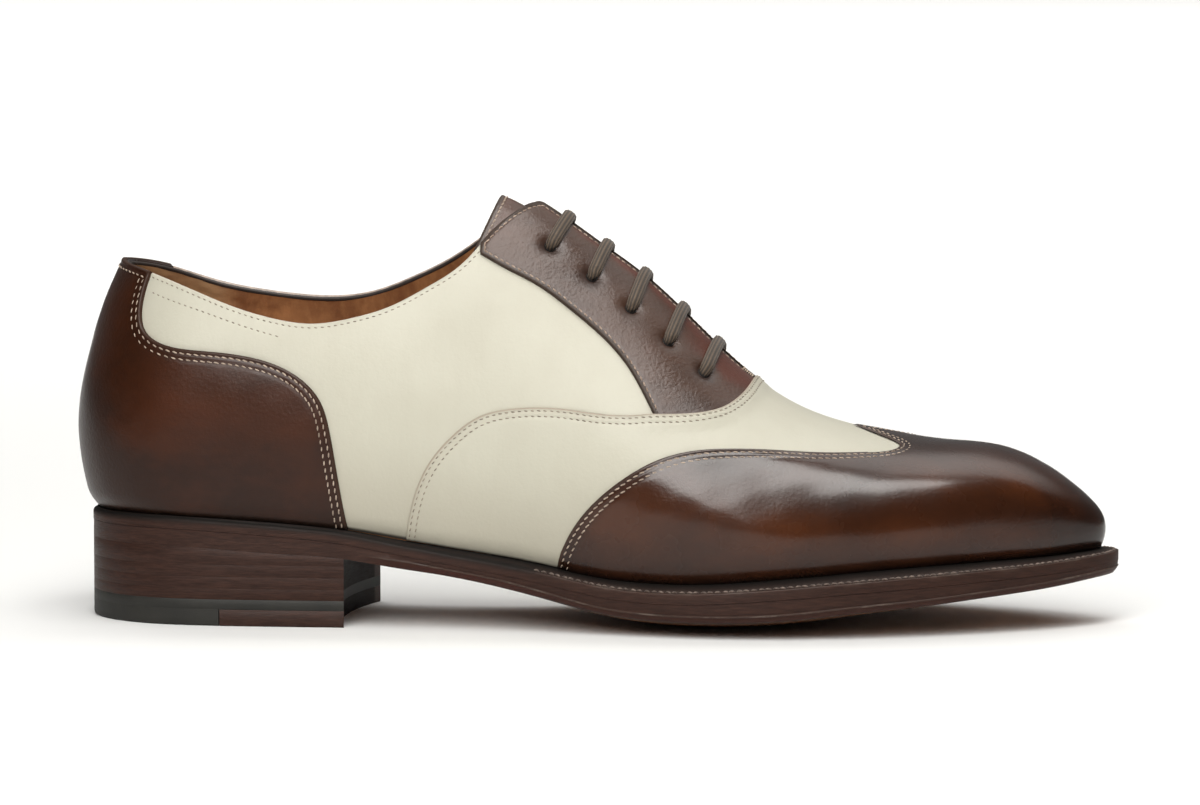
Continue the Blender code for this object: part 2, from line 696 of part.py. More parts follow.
def make_lace_bar(collection, material, name, x, up, ridge_x):
    """One straight bar of lace, from eyelet to eyelet over the throat."""
    lift = OVERLAY_GAP + OVERLAY_THICKNESS + GAP + LACE_RADIUS
    places = []
    for share in np.linspace(-1, 1, 9):
        side = LATERAL if share < 0 else MEDIAL
        angle = last_angle(ridge_x - (ridge_x - x) * share ** 2)
        places.append(placed(lifted(angle, 1 - (1 - up) * abs(share), side, lift)))
    curve = bpy.data.curves.new(name, "CURVE")
    curve.dimensions = "3D"
    curve.bevel_depth = LACE_RADIUS * MM
    curve.bevel_resolution = 2
    curve.use_fill_caps = True
    spline = curve.splines.new("POLY")
    spline.points.add(len(places) - 1)
    for point, place in zip(spline.points, places):
        point.co = (*place, 1.0)
    curve.materials.append(material)
    item = bpy.data.objects.new(name, curve)
    collection.objects.link(item)


def clear_scene():
    for item in list(bpy.data.objects):
        bpy.data.objects.remove(item, do_unlink=True)


def main():
    clear_scene()
    shoe = new_collection("spectator_shoe")
    cutters = new_collection("cutters")
    brown = new_material("brown_calf", (0.10, 0.035, 0.018), 0.28)
    cream = new_material("cream_calf", (0.72, 0.67, 0.56), 0.55)
    tan = new_material("tan_lining", (0.42, 0.20, 0.08), 0.7)
    edge = new_material("sole_edge_leather", (0.055, 0.032, 0.026), 0.45)
    rubber = new_material("top_piece_rubber", (0.03, 0.03, 0.028), 0.7)
    lace = new_material("waxed_lace", (0.09, 0.065, 0.05), 0.75)

    make_outsole(shoe, edge)
    make_welt(shoe, edge)
    make_insole(shoe, tan)
    make_heel(shoe, cutters, edge, rubber, edge)
    upper = make_upper(shoe, cream)
    make_counter(shoe, brown)
    make_wing(shoe, brown)
    make_tongue(shoe, brown)
    for side, name in ((LATERAL, "lateral"), (MEDIAL, "medial")):
        pins = eyelet_cutter(side, cutters, "eyelet_cutter_" + name)
        facing = make_facing(shoe, brown, side, "facing_" + name)
        cut(facing, pins)
        cut(upper, pins)
    for number, (x, up, ridge_x) in enumerate(EYELETS, start=1):
        make_lace_bar(shoe, lace, "lace_bar_%d" % number, x, up, ridge_x)


main()
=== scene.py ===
import math

import bmesh
import bpy
import numpy as np
from mathutils import Matrix, Vector
from mathutils.kdtree import KDTree


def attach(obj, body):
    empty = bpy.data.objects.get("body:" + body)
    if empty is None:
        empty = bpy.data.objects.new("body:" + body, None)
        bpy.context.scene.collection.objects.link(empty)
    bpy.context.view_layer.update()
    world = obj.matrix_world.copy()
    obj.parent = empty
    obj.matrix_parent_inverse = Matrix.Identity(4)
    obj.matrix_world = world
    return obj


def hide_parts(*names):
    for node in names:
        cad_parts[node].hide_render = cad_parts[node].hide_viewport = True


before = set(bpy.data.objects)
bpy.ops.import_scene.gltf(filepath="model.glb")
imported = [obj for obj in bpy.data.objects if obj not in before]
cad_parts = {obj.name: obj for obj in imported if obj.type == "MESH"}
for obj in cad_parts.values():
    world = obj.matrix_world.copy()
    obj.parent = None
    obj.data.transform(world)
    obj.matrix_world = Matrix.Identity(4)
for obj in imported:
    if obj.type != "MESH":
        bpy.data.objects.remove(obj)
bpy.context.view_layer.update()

# Everything is laid out in millimetres: x from the back of the sole to the toe, the lateral side
# at -y, z up from the floor. The frame's own origin sits here.
shoeOrigin = np.array((148.0, 0.1, 0.0))
lateral = -1
medial = 1
bothSides = (lateral, medial)


def smoothCurve(nodes, values):
    nodes = np.asarray(nodes, float)
    values = np.asarray(values, float)
    count = len(nodes)
    gap = np.diff(nodes)
    slope = np.diff(values) / gap
    system = np.eye(count)
    right = np.zeros(count)
    for i in range(1, count - 1):
        system[i, i - 1:i + 2] = (gap[i - 1], 2 * (gap[i - 1] + gap[i]), gap[i])
        right[i] = 6 * (slope[i] - slope[i - 1])
    bend = np.linalg.solve(system, right)

    def at(place):
        place = np.clip(np.asarray(place, float), nodes[0], nodes[-1])
        i = np.clip(np.searchsorted(nodes, place) - 1, 0, count - 2)
        before = nodes[i + 1] - place
        after = place - nodes[i]
        cubic = (bend[i] * before ** 3 + bend[i + 1] * after ** 3) / (6 * gap[i])
        near = (values[i] / gap[i] - bend[i] * gap[i] / 6) * before
        far = (values[i + 1] / gap[i] - bend[i + 1] * gap[i] / 6) * after
        return cubic + near + far

    return at


def angleAt(x, start, end):  # 0 at the heel, pi at the toe, so both ends come out round
    share = np.clip((np.asarray(x, float) - start) / (end - start), 0.0, 1.0)
    return np.arccos(1 - 2 * share)


def xAt(angle, start, end):
    return start + (end - start) * (1 - np.cos(angle)) / 2


def curvesOver(names, rows, start, end):
    data = np.array(rows, float)
    nodes = angleAt(data[:, 0], start, end)
    return {name: smoothCurve(nodes, data[:, i + 1]) for i, name in enumerate(names)}


soleShape = {
    "length": 300.0,
    "columns": ("lateral", "medial", "centre", "inset", "edgeTop", "rise", "bottom", "crown"),
    "stations": (
        (0, 0.0, 0.0, 0.0, 1.3, 31.0, 0.5, 22.8, 0.0),
        (10, -22.0, 22.0, 0.0, 1.4, 31.2, 0.5, 23.0, 0.0),
        (20, -28.6, 28.6, 0.0, 1.5, 31.2, 0.5, 23.0, 0.0),
        (36, -32.4, 32.0, 0.0, 1.6, 30.8, 0.5, 22.6, 0.0),
        (60, -33.2, 31.8, 0.0, 1.8, 29.2, 0.6, 21.0, 0.1),
        (79, -33.2, 30.4, 0.0, 2.2, 27.2, 0.7, 19.3, 0.5),
        (92, -33.1, 29.0, 0.0, 2.9, 24.8, 0.8, 16.8, 0.8),
        (115, -34.2, 27.4, 0.0, 4.0, 20.9, 1.2, 12.0, 1.8),
        (140, -39.2, 30.2, 0.5, 5.0, 16.6, 1.6, 5.6, 3.3),
        (153, -42.8, 34.2, 1.0, 5.4, 14.2, 1.8, 2.2, 4.1),
        (166, -46.0, 38.6, 1.5, 5.7, 13.0, 2.0, 0.0, 5.0),
        (185, -49.4, 45.4, 2.2, 6.0, 13.2, 2.0, -0.9, 5.6),
        (205, -49.4, 49.6, 3.0, 6.0, 14.6, 2.2, 0.2, 5.2),
        (225, -45.6, 49.8, 4.0, 6.0, 16.1, 2.3, 3.0, 4.3),
        (245, -39.0, 46.0, 4.8, 6.0, 17.4, 2.3, 5.9, 3.0),
        (262, -31.0, 39.6, 5.0, 6.0, 18.4, 2.0, 8.4, 2.1),
        (280, -19.6, 29.4, 4.8, 6.0, 19.4, 1.6, 11.2, 1.0),
        (292, -9.2, 18.8, 4.4, 6.0, 20.4, 1.2, 13.4, 0.4),
        (300, 4.0, 4.0, 4.0, 6.0, 21.4, 1.0, 15.0, 0.0)),
}
sole = curvesOver(soleShape["columns"], soleShape["stations"], 0.0, soleShape["length"])


def soleAngle(x):
    return angleAt(x, 0.0, soleShape["length"])


def solePoint(angle, side, inset):  # the outline, moved in square to itself
    angle = np.asarray(angle, float)
    edge = sole["lateral"] if side == lateral else sole["medial"]
    small = 1e-4
    ahead = np.where(angle < np.pi / 2, angle + small, angle)
    run = xAt(ahead, 0, soleShape["length"]) - xAt(ahead - small, 0, soleShape["length"])
    swing = edge(ahead) - edge(ahead - small)
    length = np.hypot(run, swing)
    x = xAt(angle, 0, soleShape["length"]) + inset * side * swing / length
    return x, edge(angle) - inset * side * run / length


lastShape = {
    "columns": ("swellLateral", "swellMedial", "waist", "ridge", "fullness"),
    "sections": (
        (1.3, 0.06, 0.06, 55.0, 131.0, -0.35),
        (30, 0.06, 0.06, 55.0, 131.0, -0.35),
        (60, 0.06, 0.08, 54.0, 131.0, -0.38),
        (90, 0.08, 0.17, 52.0, 131.0, -0.42),
        (113, 0.10, 0.27, 48.0, 128.8, -0.50),
        (125, 0.10, 0.28, 46.0, 124.4, -0.53),
        (137, 0.10, 0.27, 43.0, 117.2, -0.55),
        (150, 0.09, 0.22, 40.0, 107.8, -0.55),
        (163, 0.08, 0.15, 36.0, 98.0, -0.52),
        (176, 0.07, 0.10, 33.0, 85.6, -0.42),
        (190, 0.06, 0.07, 30.5, 72.4, -0.28),
        (207, 0.055, 0.055, 29.0, 61.2, -0.08),
        (225, 0.05, 0.05, 29.0, 55.0, 0.14),
        (246, 0.05, 0.05, 30.0, 51.3, 0.30),
        (264, 0.05, 0.05, 30.5, 49.4, 0.40),
        (277, 0.05, 0.05, 30.5, 44.6, 0.42),
        (286, 0.05, 0.05, 29.5, 38.3, 0.40),
        (294, 0.05, 0.05, 26.0, 28.0, 0.30)),
    "back": ((31, 1.3), (43, -1.8), (55, -3.0), (66, -2.2), (80, 1.2), (92, 4.9), (104, 10.0)),
    "topline": (
        (1.3, 103.9, 103.9),
        (15, 100.9, 100.2),
        (33.5, 95.8, 95.2),
        (46, 91.9, 93.2),
        (58, 88.9, 91.9),
        (70, 87.7, 91.7),
        (81, 89.5, 93.6),
        (92, 93.0, 98.0),
        (102.6, 98.7, 103.3),
        (112, 105.3, 109.6),
        (119.5, 113.6, 115.2),
        (126, 118.9, 119.2),
        (131, 120.4, 120.6),
        (136, 119.2, 119.4)),
    "heelLeanReach": 70.0,
    "toeTuck": 0.6,
    "toeTuckHeight": 6.0,
    "toeTuckReach": 30.0,
    "footHeight": 5.5,       # the leather draws in over this height where it meets the welt
    "footBack": 2.4, "footSides": 1.7, "footToe": 1.0,
    "throatTop": 115.0,
    "throatEnd": 193.5,
    "throatHalfGap": 2.2,
    "throatRound": 8.0,
    "weltGap": 0.3,
}


def featherLine(side):  # where the upper meets the welt: y as a curve over the last's own angle
    angle = np.linspace(0, np.pi, 121)
    x, y = solePoint(angle, side, sole["inset"](angle))
    y[[0, -1]] = sole["centre"](angle[[0, -1]])
    return x[0], x[-1], smoothCurve(angleAt(x, x[0], x[-1]), y)


lastStart, lastEnd, lateralFeather = featherLine(lateral)
medialFeather = featherLine(medial)[2]
last = curvesOver(lastShape["columns"], lastShape["sections"], lastStart, lastEnd)
topline = curvesOver(("lateral", "medial"), lastShape["topline"], lastStart, lastEnd)
heelBack = smoothCurve([z for z, _ in lastShape["back"]], [x for _, x in lastShape["back"]])


def lastAngle(x):
    return angleAt(x, lastStart, lastEnd)


def fade(distance, reach):  # 1 at no distance, falling smoothly to 0 at reach
    share = np.clip(distance / reach, 0, 1)
    return (1 - share) ** 2 * (1 + 2 * share)


def section(angle, side):
    x = xAt(angle, lastStart, lastEnd)
    onSole = soleAngle(x)
    centre = sole["centre"](angle)
    feather = lateralFeather(angle) if side == lateral else medialFeather(angle)
    swell = last["swellLateral"](angle) if side == lateral else last["swellMedial"](angle)
    low = sole["edgeTop"](onSole) + sole["rise"](onSole) + lastShape["weltGap"]
    middle = last["waist"](angle)
    ridge = last["ridge"](angle)
    share = (middle - low) / ((middle - low) + (ridge - middle) * np.pi / 2)
    half = side * (feather - centre)
    return x, centre, half, swell, low, middle, ridge, last["fullness"](angle), share


def lastPoint(angle, up, side):  # up runs from the feather line (0) to the ridge (1)
    x, centre, half, swell, low, middle, ridge, fullness, share = section(angle, side)
    turn = np.pi / 2 * (up - share) / (1 - share)
    above = turn > 0
    z = np.where(above, middle + (ridge - middle) * np.sin(turn), low + (middle - low) * up / share)
    crown = np.cos(turn) * np.sqrt(1 + fullness * np.sin(turn) ** 2)
    drop = (middle - z) / (middle - low)
    y = centre + side * half * (1 + swell) * np.where(above, crown, 1 - swell / (1 + swell) * drop ** 2)
    lean = fade(x - lastStart, lastShape["heelLeanReach"]) * (heelBack(z) - heelBack(low))
    tuckHeight = lastShape["toeTuckHeight"]
    tuck = 1 - np.clip((low + tuckHeight - z) / tuckHeight, 0, 1) ** 2
    tuck = tuck * lastShape["toeTuck"] * fade(lastEnd - x, lastShape["toeTuckReach"])
    sides, back, toe = (lastShape[key] for key in ("footSides", "footBack", "footToe"))
    drawn = sides + (back - sides) * fade(x - lastStart, 45) + (toe - sides) * fade(lastEnd - x, 35)
    drawn = drawn * np.clip(1 - (z - low) / lastShape["footHeight"], 0, 1) ** 2
    edgeX, edgeY = solePoint(angle, side, 0.0)
    innerX, innerY = solePoint(angle, side, 1.0)
    x = x + lean + tuck + drawn * (innerX - edgeX)
    y = y + drawn * (innerY - edgeY)
    return np.stack(np.broadcast_arrays(x, y, z), -1)


def lastSlopes(angle, up, side):  # how the last's point moves with the angle and with up
    small = 2e-3
    angle = np.clip(angle, small, np.pi - small)
    along = lastPoint(angle + small / 2, up, side) - lastPoint(angle - small / 2, up, side)
    rise = lastPoint(angle, up + small / 2, side) - lastPoint(angle, up - small / 2, side)
    return along / small, rise / small


def lastNormal(angle, up, side):
    along, rise = lastSlopes(angle, up, side)
    normal = np.cross(along, rise) * -side
    return normal / np.linalg.norm(normal, axis=-1, keepdims=True)


def lifted(angle, up, side, lift):
    lift = np.asarray(lift, float)[..., None]
    return lastPoint(angle, up, side) + lift * lastNormal(angle, up, side)


def upAtHeight(angle, z, side):
    _, _, _, _, low, middle, ridge, _, share = section(angle, side)
    turn = np.arcsin(np.clip((z - middle) / (ridge - middle), 0, 1))
    above = share + (1 - share) * turn / (np.pi / 2)
    return np.where(z > middle, above, share * (z - low) / (middle - low))


def throatUp(angle, side):
    x, _, half, swell, _, _, _, fullness, share = section(angle, side)
    roundness = lastShape["throatRound"]
    nearEnd = np.clip((x - (lastShape["throatEnd"] - roundness)) / roundness, 0, 1)
    gap = lastShape["throatHalfGap"] * np.sqrt(1 - nearEnd ** 2)
    width = np.maximum(half * (1 + swell) * np.sqrt(1 + fullness), lastShape["throatHalfGap"])
    turn = np.arccos(gap / width)
    isOpen = (x > lastShape["throatTop"]) & (x < lastShape["throatEnd"])
    return np.where(isOpen, share + (1 - share) * turn / (np.pi / 2), 1.0)


def topUp(angle, side):  # the upper's free edge: collar, facing corner, throat, then the ridge
    x = xAt(angle, lastStart, lastEnd)
    line = topline["lateral"](angle) if side == lateral else topline["medial"](angle)
    throat = throatUp(angle, side)
    collar = upAtHeight(angle, line, side)
    soft = 0.021 * np.clip((150 - x) / 10, 0, 1)
    cut = soft * np.log1p(np.exp(-np.abs(collar - throat) / np.maximum(soft, 1e-4)))
    collar = np.minimum(collar, throat)
    return np.where(x < lastShape["topline"][-1][0], collar, throat) - cut * (x > lastShape["throatTop"])


def pointsOn(line, side):
    return lastPoint(line[:, 0], line[:, 1], side)


def reachOf(points):  # how far each point lies from the first, along the line
    return np.concatenate([[0], np.cumsum(np.linalg.norm(np.diff(points, axis=0), axis=1))])


def spacedEvenly(points, side, count=601):  # same line, its points a true distance apart
    reach = reachOf(pointsOn(points, side))
    even = np.linspace(0, reach[-1], count)
    return np.stack([np.interp(even, reach, points[:, k]) for k in (0, 1)], -1)


def smoothLine(points, side):  # a smooth line through a few (angle, up) points
    points = np.asarray(points, float)
    share = np.linspace(0, 1, 801)
    if len(points) == 2:
        return spacedEvenly(points[0] + (points[1] - points[0]) * share[:, None], side)
    reach = reachOf(pointsOn(points, side))
    even = share * reach[-1]
    fine = np.stack([smoothCurve(reach, points[:, k])(even) for k in (0, 1)], -1)
    return spacedEvenly(fine, side)


def joinLines(lines, side):
    return spacedEvenly(np.concatenate(lines), side)


def byShare(edge):
    return np.array([(float(lastAngle(x)), up) for x, up in edge])


def byHeight(edge, side):
    angles = lastAngle([x for x, _ in edge])
    return np.stack([angles, upAtHeight(angles, np.array([z for _, z in edge]), side)], -1)


def overWelt(angle, side):
    return upAtHeight(angle, section(angle, side)[4] + 0.5, side)


def footLine(start, end, side):  # just over the welt, between two angles
    angles = np.linspace(start, end, 401)
    return spacedEvenly(np.stack([angles, overWelt(angles, side)], -1), side)


def topLine(start, end, side):
    angles = np.linspace(start, end, 801)
    return spacedEvenly(np.stack([angles, topUp(angles, side)], -1), side)


def lengthOf(line, side):
    return float(np.linalg.norm(np.diff(pointsOn(line, side), axis=0), axis=1).sum())


def readLine(line, share):
    at = np.linspace(0, 1, len(line))
    return np.stack([np.interp(share, at, line[:, k]) for k in (0, 1)], -1)


def part(line, side, start, end):  # a stretch of a line, between millimetres from its start
    total = lengthOf(line, side)
    end = total + end if end <= 0 else end
    return readLine(line, np.linspace(start / total, end / total, 601))


def moveLine(line, side, distance, inside):
    # shifts a line over the last, square to itself, towards the (angle, up) point inside
    points = pointsOn(line, side)
    along, rise = lastSlopes(line[:, 0], line[:, 1], side)
    smooth = np.stack([np.convolve(np.pad(points[:, k], 6, mode="reflect", reflect_type="odd"),
                                   np.ones(13) / 13, mode="valid") for k in range(3)], -1)
    across = np.cross(lastNormal(line[:, 0], line[:, 1], side), np.gradient(smooth, axis=0))
    across /= np.linalg.norm(across, axis=1, keepdims=True)
    middle = len(line) // 2
    target = lastPoint(inside[0], inside[1], side) - points[middle]
    if across[middle] @ target < 0:
        across = -across
    aa = (along * along).sum(1)
    au = (along * rise).sum(1)
    uu = (rise * rise).sum(1)
    pa = (along * across).sum(1) * distance
    pu = (rise * across).sum(1) * distance
    det = aa * uu - au ** 2
    return line + np.stack([(pa * uu - pu * au) / det, (pu * aa - pa * au) / det], -1)


def metres(points):
    return (np.asarray(points, float) - shoeOrigin) * 0.001


def softWaves(points, size, depth, seed):  # the slight unevenness of lasted leather
    place = np.asarray(points) / size
    turn = seed * 1.7
    wave = np.sin(place @ (2.1, 1.3, 3.7) + turn) + np.sin(place @ (4.6, -2.2, 1.4) + 2.1 * turn)
    wave = wave + 0.7 * np.sin(place @ (-3.1, 3.6, 6.2) + 0.6 * turn)
    return depth * wave / 2.7


def makePiece(name, points, faces, materials, values=None, faceMaterials=None, sharp=0.8):
    mesh = bpy.data.meshes.new(name)
    mesh.from_pydata(metres(points).tolist(), [], [list(face) for face in faces])
    for key, data in (values or {}).items():
        mesh.attributes.new(key, "FLOAT", "POINT").data.foreach_set("value", np.asarray(data, np.float32))
    for material in materials:
        mesh.materials.append(material)
    if faceMaterials is not None:
        mesh.polygons.foreach_set("material_index", np.asarray(faceMaterials, np.int32))
    bm = bmesh.new()
    bm.from_mesh(mesh)
    bmesh.ops.remove_doubles(bm, verts=[v for v in bm.verts if v.is_boundary], dist=8e-6)
    bmesh.ops.dissolve_degenerate(bm, edges=bm.edges, dist=1e-6)
    bm.to_mesh(mesh)
    bm.free()
    mesh.shade_smooth()
    mesh.set_sharp_from_angle(angle=sharp)
    item = bpy.data.objects.new(name, mesh)
    bpy.context.scene.collection.objects.link(item)
    return item


def finishPiece(item, nodes=()):
    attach(item, "root")
    if nodes:
        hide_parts(*nodes)
    print("%-22s %7d faces" % (item.name, len(item.data.polygons)))
    return item


def gridFaces(rows, columns, start=0, flip=False, closed=False):
    faces = []
    for i in range(rows - 1):
        for j in range(columns if closed else columns - 1):
            k = (j + 1) % columns
            quad = (start + i * columns + j, start + (i + 1) * columns + j,
                    start + (i + 1) * columns + k, start + i * columns + k)
            faces.append(quad[::-1] if flip else quad)
    return faces


def coons(bottom, top, left, right, s, t):
    s = np.asarray(s)
    t = np.asarray(t)
    low, high = readLine(bottom, s), readLine(top, s)
    first, final = readLine(left, t), readLine(right, t)
    s = s[:, None, None]
    t = t[None, :, None]
    ruled = (1 - t) * low[:, None] + t * high[:, None] + (1 - s) * first[None] + s * final[None]
    corners = ((1 - s) * (1 - t) * bottom[0] + s * (1 - t) * bottom[-1]
               + (1 - s) * t * top[0] + s * t * top[-1])
    return ruled - corners


def stationsAcross(length, cell, rimStart, rimEnd, rim):
    # shares from 0 to 1: close together at a cut edge, with the edge itself twice
    near = np.array(rim)
    start = near if rimStart else np.array([0.0])
    end = length - near[::-1] if rimEnd else np.array([length])
    room = end[0] - start[-1]
    count = max(int(round(room / cell)), 2)
    inner = np.linspace(start[-1], end[0], count + 1)[1:-1]
    return np.clip(np.concatenate([start, inner, end]) / length, 0, 1)


def edgeFinder(lines):
    edgePoints = np.concatenate([pointsOn(line, side) for side, line in lines])
    tree = KDTree(len(edgePoints))
    for i, point in enumerate(edgePoints):
        tree.insert(point, i)
    tree.balance()

    def distances(points):
        found = [tree.find(point)[2] for point in points.reshape(-1, 3)]
        return np.array(found).reshape(points.shape[:-1])

    return distances


def panel(side, bottom, top, left, right, *cut):  # cut: the sides where the leather ends in the open
    return {"side": side, "bottom": bottom, "top": top, "left": left, "right": right, "cut": cut}


def layLeather(name, patches, edges, form, materials, values=None, extra=None):
    # form: lift, thickness, round, cell, rim, groove rows and how uneven the leather is
    distances = edgeFinder([(side, spacedEvenly(line, side, 2401)) for side, line in edges])
    points, faces, edgeValues, footValues, angleValues, upValues = [], [], [], [], [], []
    start = 0
    for patch in patches:
        side = patch["side"]
        cut = patch["cut"]
        width = max(lengthOf(patch["bottom"], side), lengthOf(patch["top"], side))
        height = max(lengthOf(patch["left"], side), lengthOf(patch["right"], side))
        s = stationsAcross(width, form["cell"], "left" in cut, "right" in cut, form["rim"])
        t = stationsAcross(height, form["cell"], "bottom" in cut, "top" in cut, form["rim"])
        grid = coons(patch["bottom"], patch["top"], patch["left"], patch["right"], s, t)
        base = lastPoint(grid[..., 0], grid[..., 1], side)
        normal = lastNormal(grid[..., 0], grid[..., 1], side)
        d = distances(base)
        top = form["thickness"]
        lift = form["lift"]
        if extra is not None:
            lift = lift + extra(base, side)
        share = np.clip(d / form["round"], 0, 1)
        heightNow = top * (0.45 + 0.55 * np.sqrt(1 - (1 - share) ** 2))
        for row in form["rows"]:
            heightNow = heightNow - 0.13 * np.exp(-((d - row) / 0.4) ** 2)
        heightNow = heightNow + softWaves(base, 26.0, form["uneven"], 1) * np.clip(d / 6, 0, 1)
        heightNow = heightNow + softWaves(base, 9.0, form["uneven"] * 0.28, 3) * np.clip(d / 6, 0, 1)
        away = lift + heightNow
        sunk = np.zeros(d.shape, bool)
        sunk[0] |= "left" in cut
        sunk[-1] |= "right" in cut
        sunk[:, 0] |= "bottom" in cut
        sunk[:, -1] |= "top" in cut
        away = np.where(sunk, form["lift"] - 0.35, away)
        points.append((base + normal * away[..., None]).reshape(-1, 3))
        faces += gridFaces(len(s), len(t), start, flip=side == medial)
        edgeValues.append(d.ravel())
        footValues.append((base[..., 2] - section(grid[..., 0], side)[4]).ravel())
        angleValues.append(np.broadcast_to(grid[..., 0], d.shape).ravel())
        upValues.append(grid[..., 1].ravel())
        start += d.size
    points = np.concatenate(points)
    found = {"edge": np.concatenate(edgeValues), "foot": np.concatenate(footValues)}
    place = {"x": xAt(np.concatenate(angleValues), lastStart, lastEnd), "up": np.concatenate(upValues),
             "points": points}
    for key, rule in (values or {}).items():
        found[key] = rule(place)
    return makePiece(name, points, faces, materials, found)


def glowAt(place, spots, base):  # how chestnut the burnished brown is, from round patches
    total = np.full(place["x"].shape, base)
    for x, up, reachX, reachUp, strength in spots:
        far = ((place["x"] - x) / reachX) ** 2 + ((place["up"] - up) / reachUp) ** 2
        total = total + strength * np.exp(-far)
    return np.clip(total, 0, 1)


def stitchMesh(stitches):
    # stitches: centre, direction, normal, length, radius; each a small bead that dips at its ends
    rings, sides = 6, 6
    along = np.linspace(-1, 1, rings)
    swell = np.sqrt(np.clip(1 - np.abs(along) ** 2.6, 0, 1)) * 0.85 + 0.15
    angle = np.linspace(0, 2 * np.pi, sides, endpoint=False)
    points, faces = [], []
    for centre, direction, normal, length, radius in stitches:
        sideways = np.cross(normal, direction)
        start = len(points)
        for a, w in zip(along, swell):
            core = centre + direction * (a * length / 2) - normal * (0.24 * a * a)
            for b in angle:
                points.append(core + sideways * (radius * w * math.cos(b))
                              + normal * (radius * 0.8 * w * math.sin(b)))
        faces += gridFaces(rings, sides, start, closed=True)
        faces.append(tuple(range(start, start + sides)))
        faces.append(tuple(range(start + rings * sides - 1, start + (rings - 1) * sides - 1, -1)))
    return points, faces


def rowOfStitches(line, side, lift, thread, start, end):
    line = part(line, side, start, end)
    total = lengthOf(line, side)
    count = max(int(round(total / thread["pitch"])), 1)
    share = (np.arange(count) + 0.5) / count
    places = readLine(line, share)
    points = pointsOn(places, side)
    normals = lastNormal(places[:, 0], places[:, 1], side)
    ahead = readLine(line, np.clip(share + 0.3 / total, 0, 1))
    behind = readLine(line, np.clip(share - 0.3 / total, 0, 1))
    run = pointsOn(ahead, side) - pointsOn(behind, side)
    lifts = lift(points, side) if callable(lift) else np.full(count, lift)
    found = []
    for point, normal, direction, height, place in zip(points, normals, run, lifts, places):
        if place[1] > 1.0:
            continue
        direction = direction - normal * (direction @ normal)
        direction = direction / np.linalg.norm(direction)
        tilt = thread["tilt"] * side
        direction = direction + np.cross(normal, direction) * tilt
        direction = direction / np.linalg.norm(direction)
        found.append((point + normal * height, direction, normal, thread["length"], thread["radius"]))
    return found


def sew(name, stitches, material):
    points, faces = stitchMesh(stitches)
    return finishPiece(makePiece(name, points, faces, [material], sharp=3.0))


class Nodes:
    # a short way to wire one material's nodes
    def __init__(self, name):
        self.material = bpy.data.materials.new(name)
        self.material.use_nodes = True
        self.tree = self.material.node_tree
        self.shader = self.tree.nodes["Principled BSDF"]

    def add(self, kind, **settings):
        node = self.tree.nodes.new(kind)
        for key, value in settings.items():
            if key in node.inputs:
                self.put(node.inputs[key], value)
            else:
                setattr(node, key, value)
        return node

    def put(self, socket, value):
        if isinstance(value, bpy.types.NodeSocket):
            self.tree.links.new(value, socket)
        else:
            socket.default_value = value

    def attribute(self, name):
        return self.add("ShaderNodeAttribute", attribute_name=name).outputs["Fac"]

    def position(self, stretch=(1, 1, 1)):
        place = self.add("ShaderNodeTexCoord").outputs["Object"]
        mapping = self.add("ShaderNodeMapping")
        self.put(mapping.inputs["Vector"], place)
        mapping.inputs["Scale"].default_value = stretch
        return mapping.outputs["Vector"]

    def noise(self, scale, detail=3.0, rough=0.55, stretch=(1, 1, 1), warp=0.0):
        node = self.add("ShaderNodeTexNoise", Scale=scale, Detail=detail, Roughness=rough, Distortion=warp)
        self.put(node.inputs["Vector"], self.position(stretch))
        return node.outputs["Fac"]

    def math(self, operation, a, b):
        node = self.add("ShaderNodeMath", operation=operation)
        self.put(node.inputs[0], a)
        self.put(node.inputs[1], b)
        return node.outputs[0]

    def plus(self, a, b):
        return self.math("ADD", a, b)

    def times(self, a, b):
        return self.math("MULTIPLY", a, b)

    def between(self, value, low, high, to=(0.0, 1.0)):
        node = self.add("ShaderNodeMapRange")
        self.put(node.inputs["Value"], value)
        node.interpolation_type = "SMOOTHSTEP"
        for socket, number in zip(("From Min", "From Max", "To Min", "To Max"), (low, high, *to)):
            node.inputs[socket].default_value = number
        return node.outputs["Result"]

    def mix(self, factor, a, b):
        node = self.add("ShaderNodeMix", data_type="RGBA")
        self.put(node.inputs["Factor"], factor)
        for socket, value in (("A", a), ("B", b)):
            target = [i for i in node.inputs if i.name == socket and i.type == "RGBA"][0]
            self.put(target, value if isinstance(value, bpy.types.NodeSocket) else (*value, 1.0))
        return [o for o in node.outputs if o.type == "RGBA"][0]

    def bump(self, height, distance, strength):
        node = self.add("ShaderNodeBump", Height=height)
        node.inputs["Strength"].default_value = strength
        node.inputs["Distance"].default_value = distance
        return node.outputs["Normal"]

    def look(self, **values):
        names = {"color": "Base Color", "roughness": "Roughness", "normal": "Normal",
                 "specular": "Specular IOR Level", "coat": "Coat Weight",
                 "coatRoughness": "Coat Roughness", "sheen": "Sheen Weight",
                 "sheenRoughness": "Sheen Roughness"}
        for key, value in values.items():
            self.put(self.shader.inputs[names[key]], value)
        return self.material


brownLeather = {
    "dark": (0.018, 0.0062, 0.0030),
    "middle": (0.037, 0.0112, 0.0042),
    "chestnut": (0.074, 0.0205, 0.0054),
    "cutEdge": (0.040, 0.017, 0.009),
    # painted shade: near-black where the leather meets the welt
    "paintedShade": (0.005, 0.003, 0.002),
    "edgeWidth": 0.75,
    "roughness": 0.27,
    "coat": 0.43,
    "coatRoughness": 0.175,
    "specular": 0.17,
}


